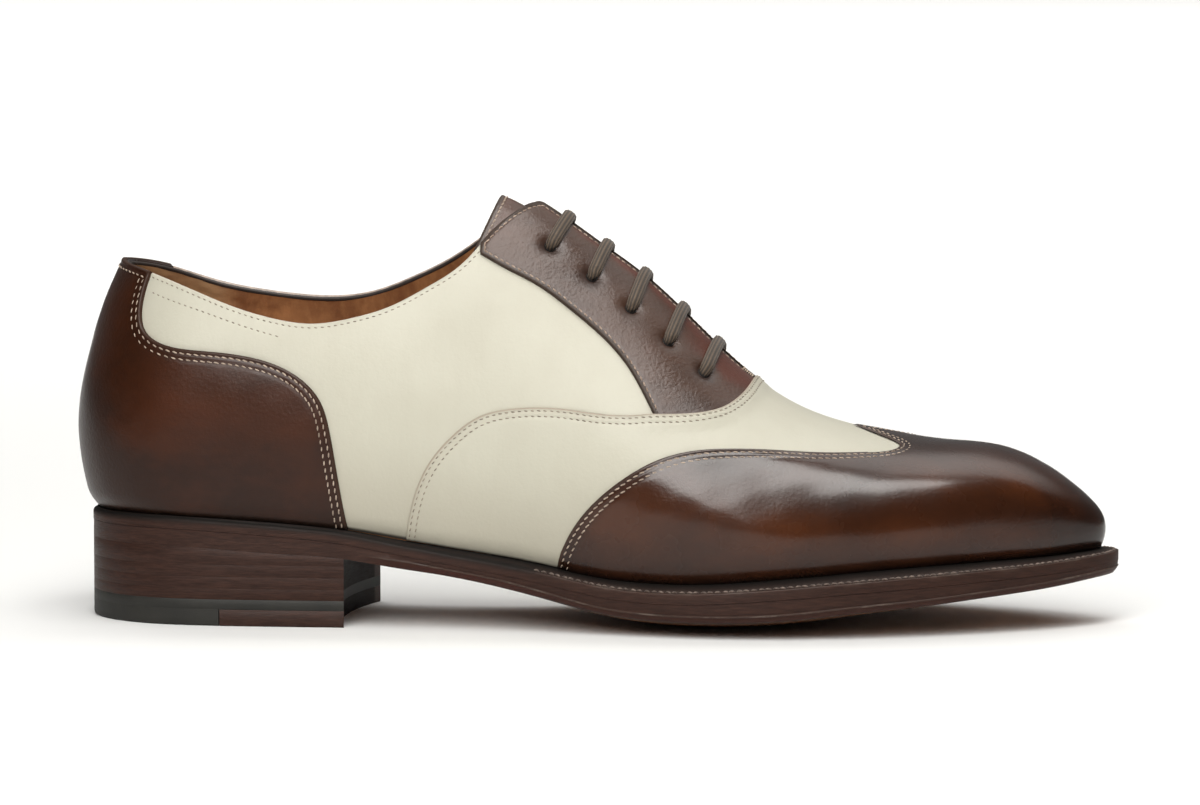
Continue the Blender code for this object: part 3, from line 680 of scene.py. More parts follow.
def calfMaterial(name, look, grainDepth=0.00007, margin=4.0, satin=False):
    n = Nodes(name)
    glow = n.attribute("glow")
    edge = n.attribute("edge")
    cloud = n.noise(26.0, 4.0, 0.6, warp=0.25)
    hand = n.noise(75.0, 4.0, 0.62, stretch=(0.5, 1, 1.1))     # polish laid on by hand
    tone = n.plus(glow, n.between(cloud, 0.3, 0.7, (-0.15, 0.15)))
    tone = n.plus(tone, n.between(hand, 0.3, 0.7, (-0.10, 0.10)))
    color = n.mix(n.between(tone, 0.0, 0.5), look["dark"], look["middle"])
    color = n.mix(n.between(tone, 0.42, 1.0), color, look["chestnut"])
    # painted seam shade: darker along the stitched margin, up to the margin's width from the edge
    color = n.mix(n.between(edge, margin - 0.8, margin + 0.4, (0.3, 0.0)), color, look["dark"])
    raw = look["edgeWidth"]
    color = n.mix(n.between(edge, raw - 0.2, raw + 0.2, (0.9, 0.0)), color, look["cutEdge"])
    # painted shade in the crevice just over the welt
    color = n.mix(n.between(n.attribute("foot"), 0.6, 2.5, (0.95, 0.0)), color, look["paintedShade"])
    grain = n.noise(1150.0, 3.0, 0.55)
    pebble = n.noise(850.0, 2.0, 0.5)
    stretchLines = n.noise(1.0, 2.0, 0.5, stretch=(600, 600, 1500))
    height = n.plus(grain, n.times(pebble, 1.1))
    height = n.plus(height, n.times(stretchLines, 0.4))
    normal = n.bump(height, grainDepth, 0.75)
    worn = n.between(n.noise(38.0, 4.0, 0.6), 0.35, 0.75, (-0.03, 0.05))
    worn = n.plus(worn, n.between(edge, 0.5, 1.0, (0.4, 0.0)))
    n.look(color=color, roughness=n.plus(worn, look["roughness"]), normal=normal, coat=look["coat"],
           coatRoughness=look["coatRoughness"], specular=look["specular"])
    if satin:
        n.look(sheen=0.06, sheenRoughness=0.4)
    return n.material


counterLeather = dict(brownLeather, dark=(0.022, 0.0068, 0.0026), middle=(0.046, 0.0118, 0.0031),
                      chestnut=(0.083, 0.0192, 0.0040), roughness=0.38, coat=0.24, coatRoughness=0.27,
                      specular=0.13)
facingLeather = dict(brownLeather, dark=(0.027, 0.0125, 0.008), middle=(0.057, 0.0235, 0.0115),
                     chestnut=(0.095, 0.022, 0.009), cutEdge=(0.036, 0.020, 0.012), edgeWidth=1.25,
                     roughness=0.36, coat=0.10, coatRoughness=0.25, specular=0.28)

creamLeather = {
    "main": (0.585, 0.565, 0.465),
    "shade": (0.50, 0.468, 0.375),
    # dirt and painted shade along the piece's edge
    "seamDirtAndShade": (0.38, 0.32, 0.24),
    # painted shade: the side walls darker towards the bottom
    "low": (0.45, 0.418, 0.335),
    # painted shade: near-black where the leather meets the welt
    "paintedShade": (0.035, 0.024, 0.018),
    "cutEdge": (0.26, 0.17, 0.12),
    "roughness": 0.5,
}


def creamMaterial(name, look):
    n = Nodes(name)
    edge = n.attribute("edge")
    cloud = n.noise(22.0, 4.0, 0.55, warp=0.4)
    brushed = n.noise(160.0, 3.0, 0.6, stretch=(1, 1, 0.25))
    tone = n.plus(n.between(cloud, 0.3, 0.75, (0.0, 0.30)), n.between(brushed, 0.35, 0.7, (0.0, 0.12)))
    color = n.mix(tone, look["main"], look["shade"])
    # dirt and painted shade: darker within a few millimetres of the edge
    dirtAndShade = n.times(n.between(edge, 0.0, 3.6, (0.35, 0.0)), n.between(cloud, 0.2, 0.7, (0.5, 1.0)))
    color = n.mix(dirtAndShade, color, look["seamDirtAndShade"])
    color = n.mix(n.between(edge, 0.3, 0.75, (0.5, 0.0)), color, look["cutEdge"])
    foot = n.attribute("foot")
    # painted shade: darker towards the bottom of the side walls
    color = n.mix(n.between(foot, 1.5, 32.0, (0.78, 0.0)), color, look["low"])
    # painted shade in the crevice just over the welt
    color = n.mix(n.between(foot, 0.4, 1.3, (0.9, 0.0)), color, look["paintedShade"])
    grain = n.noise(950.0, 3.0, 0.6)
    height = n.plus(grain, n.times(n.noise(330.0, 3.0, 0.6, stretch=(1, 1, 0.5)), 1.2))
    dull = n.between(cloud, 0.3, 0.7, (look["roughness"] - 0.04, look["roughness"] + 0.06))
    return n.look(color=color, roughness=dull, normal=n.bump(height, 0.00009, 0.7), specular=0.28,
                  coat=0.03, coatRoughness=0.4, sheen=0.08, sheenRoughness=0.5)


liningLeather = {
    "tan": (0.52, 0.23, 0.085),
    "dark": (0.24, 0.090, 0.030),
    "grip": (0.45, 0.27, 0.135),
}


def liningMaterial(name, look):
    n = Nodes(name)
    grip = n.attribute("grip")
    cloud = n.noise(60.0, 5.0, 0.65, warp=0.3)
    rubbed = n.noise(210.0, 4.0, 0.65, stretch=(1, 1, 0.35))
    tone = n.plus(n.between(cloud, 0.3, 0.72, (0.0, 0.7)), n.between(rubbed, 0.35, 0.7, (-0.15, 0.3)))
    color = n.mix(tone, look["dark"], look["tan"])
    color = n.mix(n.times(grip, n.between(cloud, 0.25, 0.7, (0.45, 0.95))), color, look["grip"])
    height = n.plus(n.noise(900.0, 4.0, 0.6), n.noise(240.0, 3.0, 0.6, stretch=(1, 1, 0.3)))
    return n.look(color=color, roughness=0.58, normal=n.bump(height, 0.00012, 0.7), specular=0.35)


edgeLeather = {
    "streakDark": (0.020, 0.0085, 0.006),
    "streakLight": (0.062, 0.027, 0.018),
    # light scuff colour, also laid on as painted highlight where an edge stands out
    "worn": (0.15, 0.115, 0.095),
    "bevel": (0.055, 0.015, 0.010),
    # painted shade: near-black in crevices
    "paintedShade": (0.006, 0.0045, 0.0035),
}


def edgeMaterial(name, look):
    # dressed sole edge: fine layers along the shoe, scuffs and painted highlights where an edge stands out,
    # painted shade in the crevices
    n = Nodes(name)
    wearAndGlint = n.attribute("wearAndGlint")
    streak = n.noise(1.0, 5.0, 0.65, stretch=(230, 230, 2400))
    broad = n.noise(1.0, 3.0, 0.6, stretch=(60, 60, 520))
    tone = n.plus(n.between(streak, 0.32, 0.70, (0.1, 0.6)), n.between(broad, 0.3, 0.7, (0.0, 0.2)))
    color = n.mix(tone, look["streakDark"], look["streakLight"])
    patchy = n.between(n.noise(170.0, 5.0, 0.7, stretch=(0.5, 0.5, 1.4)), 0.5, 0.66)
    # scuffs and painted highlight on raised edges
    scuffAndGlint = n.times(wearAndGlint, n.plus(n.times(patchy, 0.65), 0.18))
    color = n.mix(scuffAndGlint, color, look["worn"])
    color = n.mix(n.attribute("bevel"), color, look["bevel"])
    # painted shade in the crevices and on the hollow heel breast
    color = n.mix(n.attribute("paintedShade"), color, look["paintedShade"])
    height = n.plus(streak, n.times(n.noise(900.0, 3.0), 0.35))
    dull = n.plus(n.between(streak, 0.3, 0.7, (0.42, 0.56)), n.times(n.attribute("paintedShade"), 0.3))
    return n.look(color=color, roughness=dull, normal=n.bump(height, 0.00016, 0.7), specular=0.15,
                  coat=0.02, coatRoughness=0.35)


def rubberMaterial(name):
    n = Nodes(name)
    cloud = n.noise(90.0, 4.0, 0.6)
    color = n.mix(n.between(cloud, 0.3, 0.7), (0.011, 0.0105, 0.008), (0.020, 0.0185, 0.0145))
    streak = n.noise(1.0, 4.0, 0.6, stretch=(60, 60, 800))
    height = n.plus(streak, n.times(n.noise(2600.0, 2.0), 0.5))
    return n.look(color=color, roughness=0.62, normal=n.bump(height, 0.0001, 0.6), specular=0.4)


def treadMaterial(name):
    n = Nodes(name)
    cloud = n.noise(35.0, 5.0, 0.6, stretch=(0.5, 1.4, 1))
    grain = n.noise(700.0, 4.0, 0.6, stretch=(0.5, 1, 1))
    color = n.mix(n.between(cloud, 0.3, 0.7), (0.16, 0.070, 0.032), (0.25, 0.120, 0.058))
    color = n.mix(n.attribute("edgeBand"), color, (0.030, 0.014, 0.010))
    return n.look(color=color, roughness=0.5, normal=n.bump(grain, 0.0001, 0.6), specular=0.4)


def threadMaterial(name, light, dark):
    n = Nodes(name)
    mix = n.between(n.noise(700.0, 2.0), 0.35, 0.65)
    twist = n.noise(1.0, 2.0, 0.5, stretch=(4200, 2600, 4200))
    return n.look(color=n.mix(mix, dark, light), roughness=0.72, normal=n.bump(twist, 0.00008, 0.7),
                  specular=0.3, sheen=0.2, sheenRoughness=0.5)


def laceMaterial(name):
    n = Nodes(name)
    ribShade = n.attribute("ribShade")
    weave = n.noise(1.0, 3.0, 0.6, stretch=(1500, 1500, 1500))
    # painted shade: dark between the cord's ribs, light on their crests
    color = n.mix(n.between(ribShade, 0.15, 0.9), (0.020, 0.0135, 0.009), (0.130, 0.088, 0.056))
    color = n.mix(n.between(weave, 0.35, 0.7, (0.0, 0.45)), color, (0.058, 0.040, 0.026))
    height = n.plus(weave, n.times(n.noise(3600.0, 2.0), 0.6))
    return n.look(color=color, roughness=0.7, normal=n.bump(height, 0.00014, 0.9), specular=0.3,
                  sheen=0.15, sheenRoughness=0.5)


def plainDark(name, color, roughness):
    n = Nodes(name)
    mottled = n.mix(n.between(n.noise(500.0, 3.0), 0.3, 0.7), tuple(c * 0.6 for c in color), color)
    return n.look(color=mottled, roughness=roughness, normal=n.bump(n.noise(1500.0), 0.00008, 0.6))


brownCalf = calfMaterial("brownCalf", brownLeather)
counterCalf = calfMaterial("counterCalf", counterLeather, 0.00009)
facingCalf = calfMaterial("facingCalf", facingLeather, 0.00013, 2.4, True)
creamCalf = creamMaterial("creamCalf", creamLeather)
tanLining = liningMaterial("tanLining", liningLeather)
soleEdge = edgeMaterial("soleEdge", edgeLeather)
blackRubber = rubberMaterial("blackRubber")
treadLeather = treadMaterial("treadLeather")
paleThread = threadMaterial("paleThread", (0.56, 0.44, 0.34), (0.32, 0.24, 0.18))
duskThread = threadMaterial("duskThread", (0.50, 0.37, 0.285), (0.26, 0.175, 0.125))
greyThread = threadMaterial("greyThread", (0.34, 0.29, 0.225), (0.20, 0.165, 0.125))
weltThread = threadMaterial("weltThread", (0.21, 0.155, 0.125), (0.07, 0.045, 0.035))
waxedCord = laceMaterial("waxedCord")
# binding tape coloured near-black as painted shade inside the collar rim
collarTapeShade = plainDark("collarTapeShade", (0.028, 0.016, 0.011), 0.65)
# painted shade inside the eyelet holes
holeShade = plainDark("holeShade", (0.008, 0.005, 0.004), 0.8)
# painted reflection: the collar's folded cream rim tinted pink by the tan lining
liningReflectionFold = plainDark("liningReflectionFold", (0.52, 0.41, 0.34), 0.5)
print("materials ready")


quarterShape = {
    "columns": 420,
    "rows": 84,
    "rimRadius": 0.7,
    "innerRun": 4.0,
    "eyeletClear": 3.2,
    "heelRimEnd": 13.6,   # the rim behind this x is the counter's brown
    "uneven": 0.16,
}

eyelets = ((136.0, 0.735, 139.2), (148.2, 0.73, 150.4), (159.7, 0.71, 161.4), (170.6, 0.70, 172.2),
           (181.0, 0.705, 182.4))   # x, up, and x where the lace crosses the ridge


def evenAngles(count, side):
    up = 0.3      # spaced along the row at this share of the height
    angles = np.linspace(0, np.pi, 1201)
    reach = reachOf(lastPoint(angles, up, side))
    return np.interp(np.linspace(0, reach[-1], count), reach, angles)


def upPerMillimetre(angle, up, side):
    _, rise = lastSlopes(angle, up, side)
    return 1 / np.linalg.norm(rise, axis=-1)


def eyeletSpots(side):
    return np.array([lastPoint(lastAngle(x), up, side) for x, up, _ in eyelets])


def makeQuarters():
    shape = quarterShape
    points, faces, edgeValues, footValues, faceMaterials = [], [], [], [], []
    start = 0
    for side in bothSides:
        angles = evenAngles(shape["columns"], side)
        corners = lastAngle([136.0, lastShape["throatEnd"], shape["heelRimEnd"]])
        angles = np.unique(np.concatenate([angles, corners - 1e-5, corners + 1e-5]))
        x = xAt(angles, lastStart, lastEnd)
        edge = topUp(angles, side)
        scale = upPerMillimetre(angles, edge - 0.01, side)
        hasRim = (x < lastShape["throatEnd"]).astype(float)
        radius = shape["rimRadius"] * hasRim
        share = np.linspace(0, 1, shape["rows"]) ** 0.9
        outerUp = (edge - radius * scale)[:, None] * share[None, :]
        rows = [outerUp]
        lifts = [np.zeros_like(outerUp)]
        for turn in np.linspace(0, np.pi, 8)[1:]:
            rows.append((edge - radius * scale * (1 - np.sin(turn)))[:, None])
            lifts.append((radius * (np.cos(turn) - 1))[:, None])
        for depth in np.linspace(0, shape["innerRun"], 4)[1:]:
            rows.append((edge - (radius + depth * hasRim) * scale)[:, None])
            lifts.append((-2 * radius)[:, None])
        up = np.concatenate(rows, 1)
        lift = np.concatenate(lifts, 1)
        grid = np.broadcast_to(angles[:, None], up.shape)
        base = lastPoint(grid, up, side)
        uneven = softWaves(base, 24.0, shape["uneven"], 2) * np.clip((edge[:, None] - up) / 0.1, 0, 1)
        surface = base + lastNormal(grid, up, side) * (lift + uneven)[..., None]
        points.append(surface.reshape(-1, 3))
        spots = eyeletSpots(side)
        nearEyelet = np.min(np.linalg.norm(base[:, :, None] - spots, axis=-1), axis=-1) < shape["eyeletClear"]
        columns = up.shape[1]
        quads = gridFaces(len(angles), columns, start, flip=side == medial)
        keep = []
        for index, quad in enumerate(quads):
            i, j = divmod(index, columns - 1)
            if nearEyelet[i, j] and nearEyelet[i + 1, j + 1]:
                continue
            if j >= shape["rows"] - 1 and x[i] > lastShape["throatEnd"] - 0.01:
                continue
            keep.append(quad)
            brown = j > shape["rows"] - 6 and x[i] < shape["heelRimEnd"]
            # the rim's fold rows carry the painted reflection of the lining
            reflectionTinted = shape["rows"] + 1 <= j <= shape["rows"] + 5 and x[i] < 118
            faceMaterials.append(2 if brown else 1 if reflectionTinted else 0)
        faces += keep
        below = ((edge[:, None] - up) / scale[:, None])
        edgeValues.append(np.where(below < 0.5, 0.5, below).clip(0, 60).ravel() + 1.5)
        footValues.append((base[..., 2] - section(grid, side)[4]).ravel())
        start += surface.shape[0] * surface.shape[1]
    points = np.concatenate(points)
    values = {"edge": np.concatenate(edgeValues), "foot": np.concatenate(footValues),
              "glow": np.full(len(points), 0.15)}
    item = makePiece("quarters", points, faces, [creamCalf, liningReflectionFold, brownCalf], values, faceMaterials)
    return finishPiece(item, ["upper"])


vampShape = {
    "seam": ((96.1, 0.0), (98.4, 0.079), (102.8, 0.151), (109.8, 0.213), (118.3, 0.264), (126.7, 0.294),
             (135.2, 0.320), (145.8, 0.351), (158.9, 0.390), (168.5, 0.437), (178.5, 0.51), (186.0, 0.60),
             (190.8, 0.72), (193.5, 1.0)),
    "under": ((146, 0.0), (150, 0.06), (157, 0.14), (167.5, 0.235), (180, 0.335), (194, 0.44), (208, 0.535),
              (222, 0.605), (233, 0.665), (241.5, 0.745), (244.0, 0.83), (240, 0.92), (232, 1.0)),
    "overFacing": 1.0,     # how far it climbs where it laps the facing
    "climb": 7.0,
    "lift": 0.0, "thickness": 0.8, "round": 0.7, "cell": 1.15, "uneven": 0.13,
    "rim": (0, 0, 0.1, 0.25, 0.5, 0.8, 1.1, 1.6, 2.2, 2.6, 3.0),
    "rows": (1.0, 2.6),
}


def vampSeam(side):
    line = byShare(vampShape["seam"])
    line[0, 1] = float(overWelt(line[0, 0], side))
    return smoothLine(line, side)


def throatPart(side):  # the stretch of the vamp's seam that laps the facing
    seam = vampSeam(side)
    x = xAt(seam[:, 0], lastStart, lastEnd)
    return seam[x > 168.0]


def vampClimb():
    distances = {side: edgeFinder([(side, throatPart(side))]) for side in bothSides}

    def climb(points, side):
        near = 1 - np.clip(distances[side](points) / vampShape["climb"], 0, 1)
        return vampShape["overFacing"] * near ** 2 * (3 - 2 * near)

    return climb


vampLift = vampClimb()


def makeVamp():
    patches, edges = [], []
    for side in bothSides:
        left = vampSeam(side)
        under = byShare(vampShape["under"])
        under[0, 1] = float(overWelt(under[0, 0], side))
        right = smoothLine(under, side)
        bottom = footLine(left[0, 0], right[0, 0], side)
        top = smoothLine([left[-1], right[-1]], side)
        patches.append(panel(side, bottom, top, left, right, "left"))
        edges.append((side, left))
    item = layLeather("vamp", patches, edges, vampShape, [creamCalf], extra=vampLift)
    return finishPiece(item)


panelRim = (0, 0, 0.1, 0.25, 0.45, 0.7, 1.0, 1.3, 1.6, 2.2, 2.7, 3.1, 3.5)

counterShape = {
    "edge": ((79.4, 28.9), (76.4, 46.4), (74.3, 58.2), (71.8, 65.5), (67.6, 70.6), (61.5, 74.6),
             (51.5, 77.8), (37.5, 79.4), (23.7, 81.6), (18.0, 85.2), (15.0, 92.0), (13.6, 102.0)),
    "lift": 0.05, "thickness": 1.2, "round": 0.55, "cell": 1.15, "uneven": 0.16,
    "rim": panelRim,
    "rows": (1.35, 3.05),
    "glow": ((42, 0.24, 22, 0.09, 0.45), (66, 0.20, 9, 0.08, 0.16), (24, 0.16, 10, 0.07, 0.14)),
    "glowBase": 0.14,
}


def counterEdge(side):
    edge = byHeight(counterShape["edge"], side)
    edge[-1, 1] = topUp(edge[-1, 0], side)
    edge[0, 1] = float(overWelt(edge[0, 0], side))
    return smoothLine(edge, side)


def makeCounter():
    patches, edges = [], []
    for side in bothSides:
        edge = counterEdge(side)
        cutAt = 210      # the edge's point where the panel's front side turns into its top
        right = spacedEvenly(edge[:cutAt + 1], side)
        collar = topLine(1e-4, edge[-1, 0], side)
        collar[:, 1] = np.minimum(collar[:, 1], topUp(collar[:, 0], side))
        top = joinLines([collar[:-1], edge[cutAt:][::-1]], side)
        bottom = footLine(0.0, right[0, 0], side)
        top[0, 0] = 0.0
        left = smoothLine([bottom[0], top[0]], side)
        patches.append(panel(side, bottom, top, left, right, "top", "right"))
        edges += [(side, edge), (side, collar)]

    def glow(place):
        warm = glowAt(place, counterShape["glow"], counterShape["glowBase"])
        back = np.clip((place["points"][:, 0] + 3) / 18, 0, 1)
        foot = np.clip(place["up"] / 0.05, 0, 1)
        # painted shade: darker at the foot, just over the welt
        return warm * (0.25 + 0.75 * back) * (0.5 + 0.5 * foot)

    item = layLeather("counter", patches, edges, counterShape, [counterCalf], {"glow": glow})
    return finishPiece(item, ["heel_counter"])


wingShape = {
    "tail": ((140.4, 0.0), (145.0, 0.085), (152.5, 0.172), (163.5, 0.268), (176.0, 0.37),
             (190.0, 0.475), (204.0, 0.57), (217.5, 0.645), (228.5, 0.71)),
    "peak": ((228.5, 0.71), (235.5, 0.775), (237.0, 0.83), (232.5, 0.905), (222.5, 1.0)),
    "capStart": 224.0,
    "lift": 0.75, "thickness": 0.9, "round": 0.5, "cell": 1.15, "uneven": 0.2,
    "rim": panelRim,
    "rows": (1.35, 3.05),
    "glow": ((262, 0.62, 26, 0.20, 0.55), (205, 0.22, 40, 0.12, 0.42), (160, 0.12, 16, 0.08, 0.30),
             (250, 0.22, 26, 0.12, 0.25)),
    "glowBase": 0.26,
}


def wingTail(side):
    edge = byShare(wingShape["tail"])
    edge[0, 1] = float(overWelt(edge[0, 0], side))
    return smoothLine(edge, side)


def wingPeak(side):
    return smoothLine(byShare(wingShape["peak"]), side)


def makeWing():
    patches, edges = [], []
    for side in bothSides:
        tailTop = wingTail(side)
        capAngle = float(lastAngle(wingShape["capStart"]))
        tailBottom = footLine(tailTop[0, 0], capAngle, side)
        tailLeft = smoothLine([tailBottom[0], tailTop[0] + (0, 1e-6)], side)
        tailRight = smoothLine([tailBottom[-1], tailTop[-1]], side)
        patches.append(panel(side, tailBottom, tailTop, tailLeft, tailRight, "top"))
        peak = wingPeak(side)
        capLeft = joinLines([tailRight[:-1], peak], side)
        capBottom = footLine(capAngle, np.pi, side)
        capTop = smoothLine([peak[-1], (np.pi, 1.0)], side)
        capRight = smoothLine([capBottom[-1], capTop[-1]], side)
        patches.append(panel(side, capBottom, capTop, capLeft, capRight))
        edges += [(side, tailTop), (side, peak)]

    def glow(place):
        warm = glowAt(place, wingShape["glow"], wingShape["glowBase"])
        tip = np.clip((299 - place["points"][:, 0]) / 26, 0, 1)
        foot = np.clip(place["up"] / 0.09, 0, 1)
        # painted shade: darker at the foot, just over the welt
        return warm * (0.2 + 0.8 * tip) * (0.35 + 0.65 * foot)

    item = layLeather("wing", patches, edges, wingShape, [brownCalf], {"glow": glow})
    return finishPiece(item, ["toe_wing"])


facingShape = {
    "edge": ((116.4, 107.2), (123.8, 103.2), (133.3, 98.4), (143.0, 91.7), (152.5, 84.1),
             (159.2, 77.2), (164.2, 70.0), (168.5, 62.6)),
    "corner": 132.5,
    "meeting": 0.99,
    "lift": 0.05, "thickness": 1.2, "round": 0.5, "cell": 0.62, "uneven": 0.10,
    "rim": (0, 0, 0.1, 0.25, 0.45, 0.7, 1.0, 1.3, 1.6, 2.0),
    "rows": (1.35,),
    "holeRadius": 1.75,
    "dimpleReach": 4.6,
    "dimpleDepth": 1.05,
    "glow": ((186, 0.86, 12, 0.10, 0.75), (170, 0.93, 22, 0.05, 0.5), (150, 0.93, 26, 0.05, 0.45),
             (183, 0.70, 8, 0.08, 0.25)),
    "glowBase": 0.36,
}


def facingLines(side):
    bottom = smoothLine(byHeight(facingShape["edge"], side), side)
    seam = throatPart(side)
    right = spacedEvenly(seam, side)
    bottom[-1] = right[0]
    right[-1, 1] = facingShape["meeting"]
    left = topLine(bottom[0, 0], float(lastAngle(facingShape["corner"])), side)
    bottom[0] = left[0]
    top = topLine(left[-1, 0], right[-1, 0], side)
    top[:, 1] = np.minimum(top[:, 1], facingShape["meeting"])
    return bottom, top, left, right


def pierce(item, side):
    # opens the eyelets: faces inside each one go, its rim is rounded off and a sleeve runs inwards,
    # near-black as painted shade in the hole
    bm = bmesh.new()
    bm.from_mesh(item.data)
    radius = facingShape["holeRadius"]
    for x, up, _ in eyelets:
        angle = lastAngle(x)
        normal = lastNormal(angle, up, side)
        lift = facingShape["lift"] + facingShape["thickness"]
        centre = Vector(metres(lastPoint(angle, up, side) + normal * lift))
        axis = Vector(normal)
        inside = []
        for f in bm.faces:
            away = f.calc_center_median() - centre
            if (away - axis * away.dot(axis)).length < (radius - 0.1) * 0.001 and away.length < 0.004:
                inside.append(f)
        bmesh.ops.delete(bm, geom=inside, context="FACES")
        ring = [e for e in bm.edges if e.is_boundary
                and all((v.co - centre).length < (radius + 1.2) * 0.001 for v in e.verts)]
        for v in {v for e in ring for v in e.verts}:
            flat = v.co - centre
            depth = flat.dot(axis)
            flat = flat - axis * depth
            v.co = centre + flat.normalized() * radius * 0.001 + axis * depth
        for shrink, drop in ((0.12, 0.25), (0.3, 0.9), (0.35, 2.4)):
            made = bmesh.ops.extrude_edge_only(bm, edges=ring)["geom"]
            ring = [g for g in made if isinstance(g, bmesh.types.BMEdge)
                    and all(len(v.link_edges) < 5 for v in g.verts) and g.is_boundary]
            for v in {g for g in made if isinstance(g, bmesh.types.BMVert)}:
                flat = v.co - centre
                depth = flat.dot(axis)
                flat = (flat - axis * depth).normalized() * (radius - shrink) * 0.001
                v.co = centre + flat + axis * (-drop * 0.001)
            # the sleeve carries the painted shade of the hole
            for f in {g for g in made if isinstance(g, bmesh.types.BMFace)}:
                f.material_index = 1
    bm.to_mesh(item.data)
    bm.free()
    item.data.shade_smooth()
    item.data.set_sharp_from_angle(angle=0.9)


def makeFacing(side, name):
    bottom, top, left, right = facingLines(side)
    patch = panel(side, bottom, top, left, right, "bottom", "top", "left")
    spots = eyeletSpots(side)

    def press(points, _):  # the lace pulls the leather in round each eyelet
        away = np.linalg.norm(points[..., None, :] - spots, axis=-1).min(axis=-1)
        return -facingShape["dimpleDepth"] * np.exp(-(away / (facingShape["dimpleReach"] * 0.6)) ** 2)

    def glow(place):
        warm = glowAt(place, facingShape["glow"], facingShape["glowBase"])
        base = lastPoint(lastAngle(place["x"]), place["up"], side)
        away = np.linalg.norm(base[:, None, :] - spots, axis=-1).min(axis=-1)
        # painted shade: darker round each eyelet, in the dimple the lace pulls
        return warm * (1 - 0.95 * np.exp(-(away / 3.6) ** 2))

    item = layLeather(name, [patch], [(side, bottom), (side, top), (side, left)], facingShape,
                      [facingCalf, holeShade], {"glow": glow}, extra=press)
    pierce(item, side)
    node = "facing_lateral" if side == lateral else "facing_medial"
    return finishPiece(item, [node])


tongueShape = {
    "side": ((114.5, 0.63), (150.0, 0.62), (186.0, 0.56)),
    "topX": 121.5, "toeX": 201.0,
    "lift": -4.35, "thickness": 1.5, "round": 0.7, "cell": 1.3, "uneven": 0.12,
    "rim": (0, 0, 0.15, 0.35, 0.7, 1.2, 1.8),
    "rows": (1.9,),
    "glow": ((122, 0.98, 6, 0.1, 0.35),),
    "glowBase": 0.42,
}


def tongueLines(side):
    bottom = smoothLine(byShare(tongueShape["side"]), side)
    top = smoothLine(byShare(((tongueShape["topX"], 1.0), (tongueShape["toeX"], 1.0))), side)
    ends = []
    for low, high in ((bottom[0], top[0]), (bottom[-1], top[-1])):
        share = np.linspace(0, 1, 201)
        angle = low[0] + (high[0] - low[0]) * (1 - (1 - share) ** 2)
        ends.append(spacedEvenly(np.stack([angle, low[1] + (high[1] - low[1]) * share], -1), side))
    return bottom, top, ends[0], ends[1]


def makeTongue():
    patches, edges = [], []
    for side in bothSides:
        bottom, top, left, right = tongueLines(side)
        patches.append(panel(side, bottom, top, left, right, "bottom", "left", "right"))
        edges += [(side, bottom), (side, left), (side, right)]

    def glow(place):
        return glowAt(place, tongueShape["glow"], tongueShape["glowBase"])

    item = layLeather("tongueCalf", patches, edges, tongueShape, [facingCalf, tanLining],
                      {"glow": glow})
    back = item.modifiers.new("Backing", "SOLIDIFY")
    back.thickness = 0.0012
    back.offset = -1
    back.material_offset = 1
    return finishPiece(item, ["tongue"])


liningShape = {
    "fromEdge": 1.2,
    "lift": -1.85,
    "columns": 300,
    "rows": 60,
    "gripEnd": 35.0,      # heel grip, in x
    "wrinkle": 0.55,
}


def makeLining():
    shape = liningShape
    points, faces, grips = [], [], []
    start = 0
    for side in bothSides:
        angles = evenAngles(shape["columns"], side)
        x = xAt(angles, lastStart, lastEnd)
        edge = topUp(angles, side)
        scale = upPerMillimetre(angles, edge - 0.01, side)
        isOpen = x < lastShape["throatEnd"]
        high = edge - shape["fromEdge"] * scale * isOpen
        up = high[:, None] * np.linspace(-0.01, 1, shape["rows"])[None, :]
        grid = np.broadcast_to(angles[:, None], up.shape)
        base = lastPoint(grid, up, side)
        below = (high[:, None] - up) / scale[:, None]
        wrinkles = softWaves(base * (1.0, 1.0, 2.2), 5.0, shape["wrinkle"], 5)
        wrinkles = wrinkles * np.exp(-((below - 5) / 5) ** 2)
        wrinkles = wrinkles * np.exp(-((base[..., 0] - 20) / 22) ** 2)
        lift = shape["lift"] + wrinkles + softWaves(base, 18.0, 0.15, 7)
        surface = base + lastNormal(grid, up, side) * lift[..., None]
        points.append(surface.reshape(-1, 3))
        faces += gridFaces(len(angles), up.shape[1], start, flip=side == lateral)
        border = shape["gripEnd"] - 0.12 * (below - 4)
        grips.append(np.clip((border - base[..., 0]) / 9 + 0.5, 0, 1).ravel())
        start += surface.shape[0] * surface.shape[1]
    item = makePiece("lining", np.concatenate(points), faces, [tanLining],
                     {"grip": np.concatenate(grips)})
    return finishPiece(item)


tapeShape = {"from": 0.25, "to": 1.6, "lift": -1.35, "thickness": 0.6}


def makeTape():
    # the tape that binds the inside of the collar, near-black as painted shade on the rim's inner side
    points, faces = [], []
    start = 0
    for side in bothSides:
        angles = np.linspace(0, float(lastAngle(117.0)), 260)
        edge = topUp(angles, side)
        scale = upPerMillimetre(angles, edge - 0.01, side)
        rows, lifts = [], []
        for share in np.linspace(0, 1, 9):
            depth = tapeShape["from"] + (tapeShape["to"] - tapeShape["from"]) * share
            bulge = 1 - (2 * share - 1) ** 6
            rows.append(edge - depth * scale)
            lifts.append(np.full(len(angles), tapeShape["lift"] - tapeShape["thickness"] * bulge))
        up = np.stack(rows, 1)
        lift = np.stack(lifts, 1)
        grid = np.broadcast_to(angles[:, None], up.shape)
        surface = lifted(grid, up, side, lift)
        points.append(surface.reshape(-1, 3))
        faces += gridFaces(len(angles), 9, start, flip=side == medial)
        start += surface.shape[0] * surface.shape[1]
    item = makePiece("collarTape", np.concatenate(points), faces, [collarTapeShade])
    return finishPiece(item)


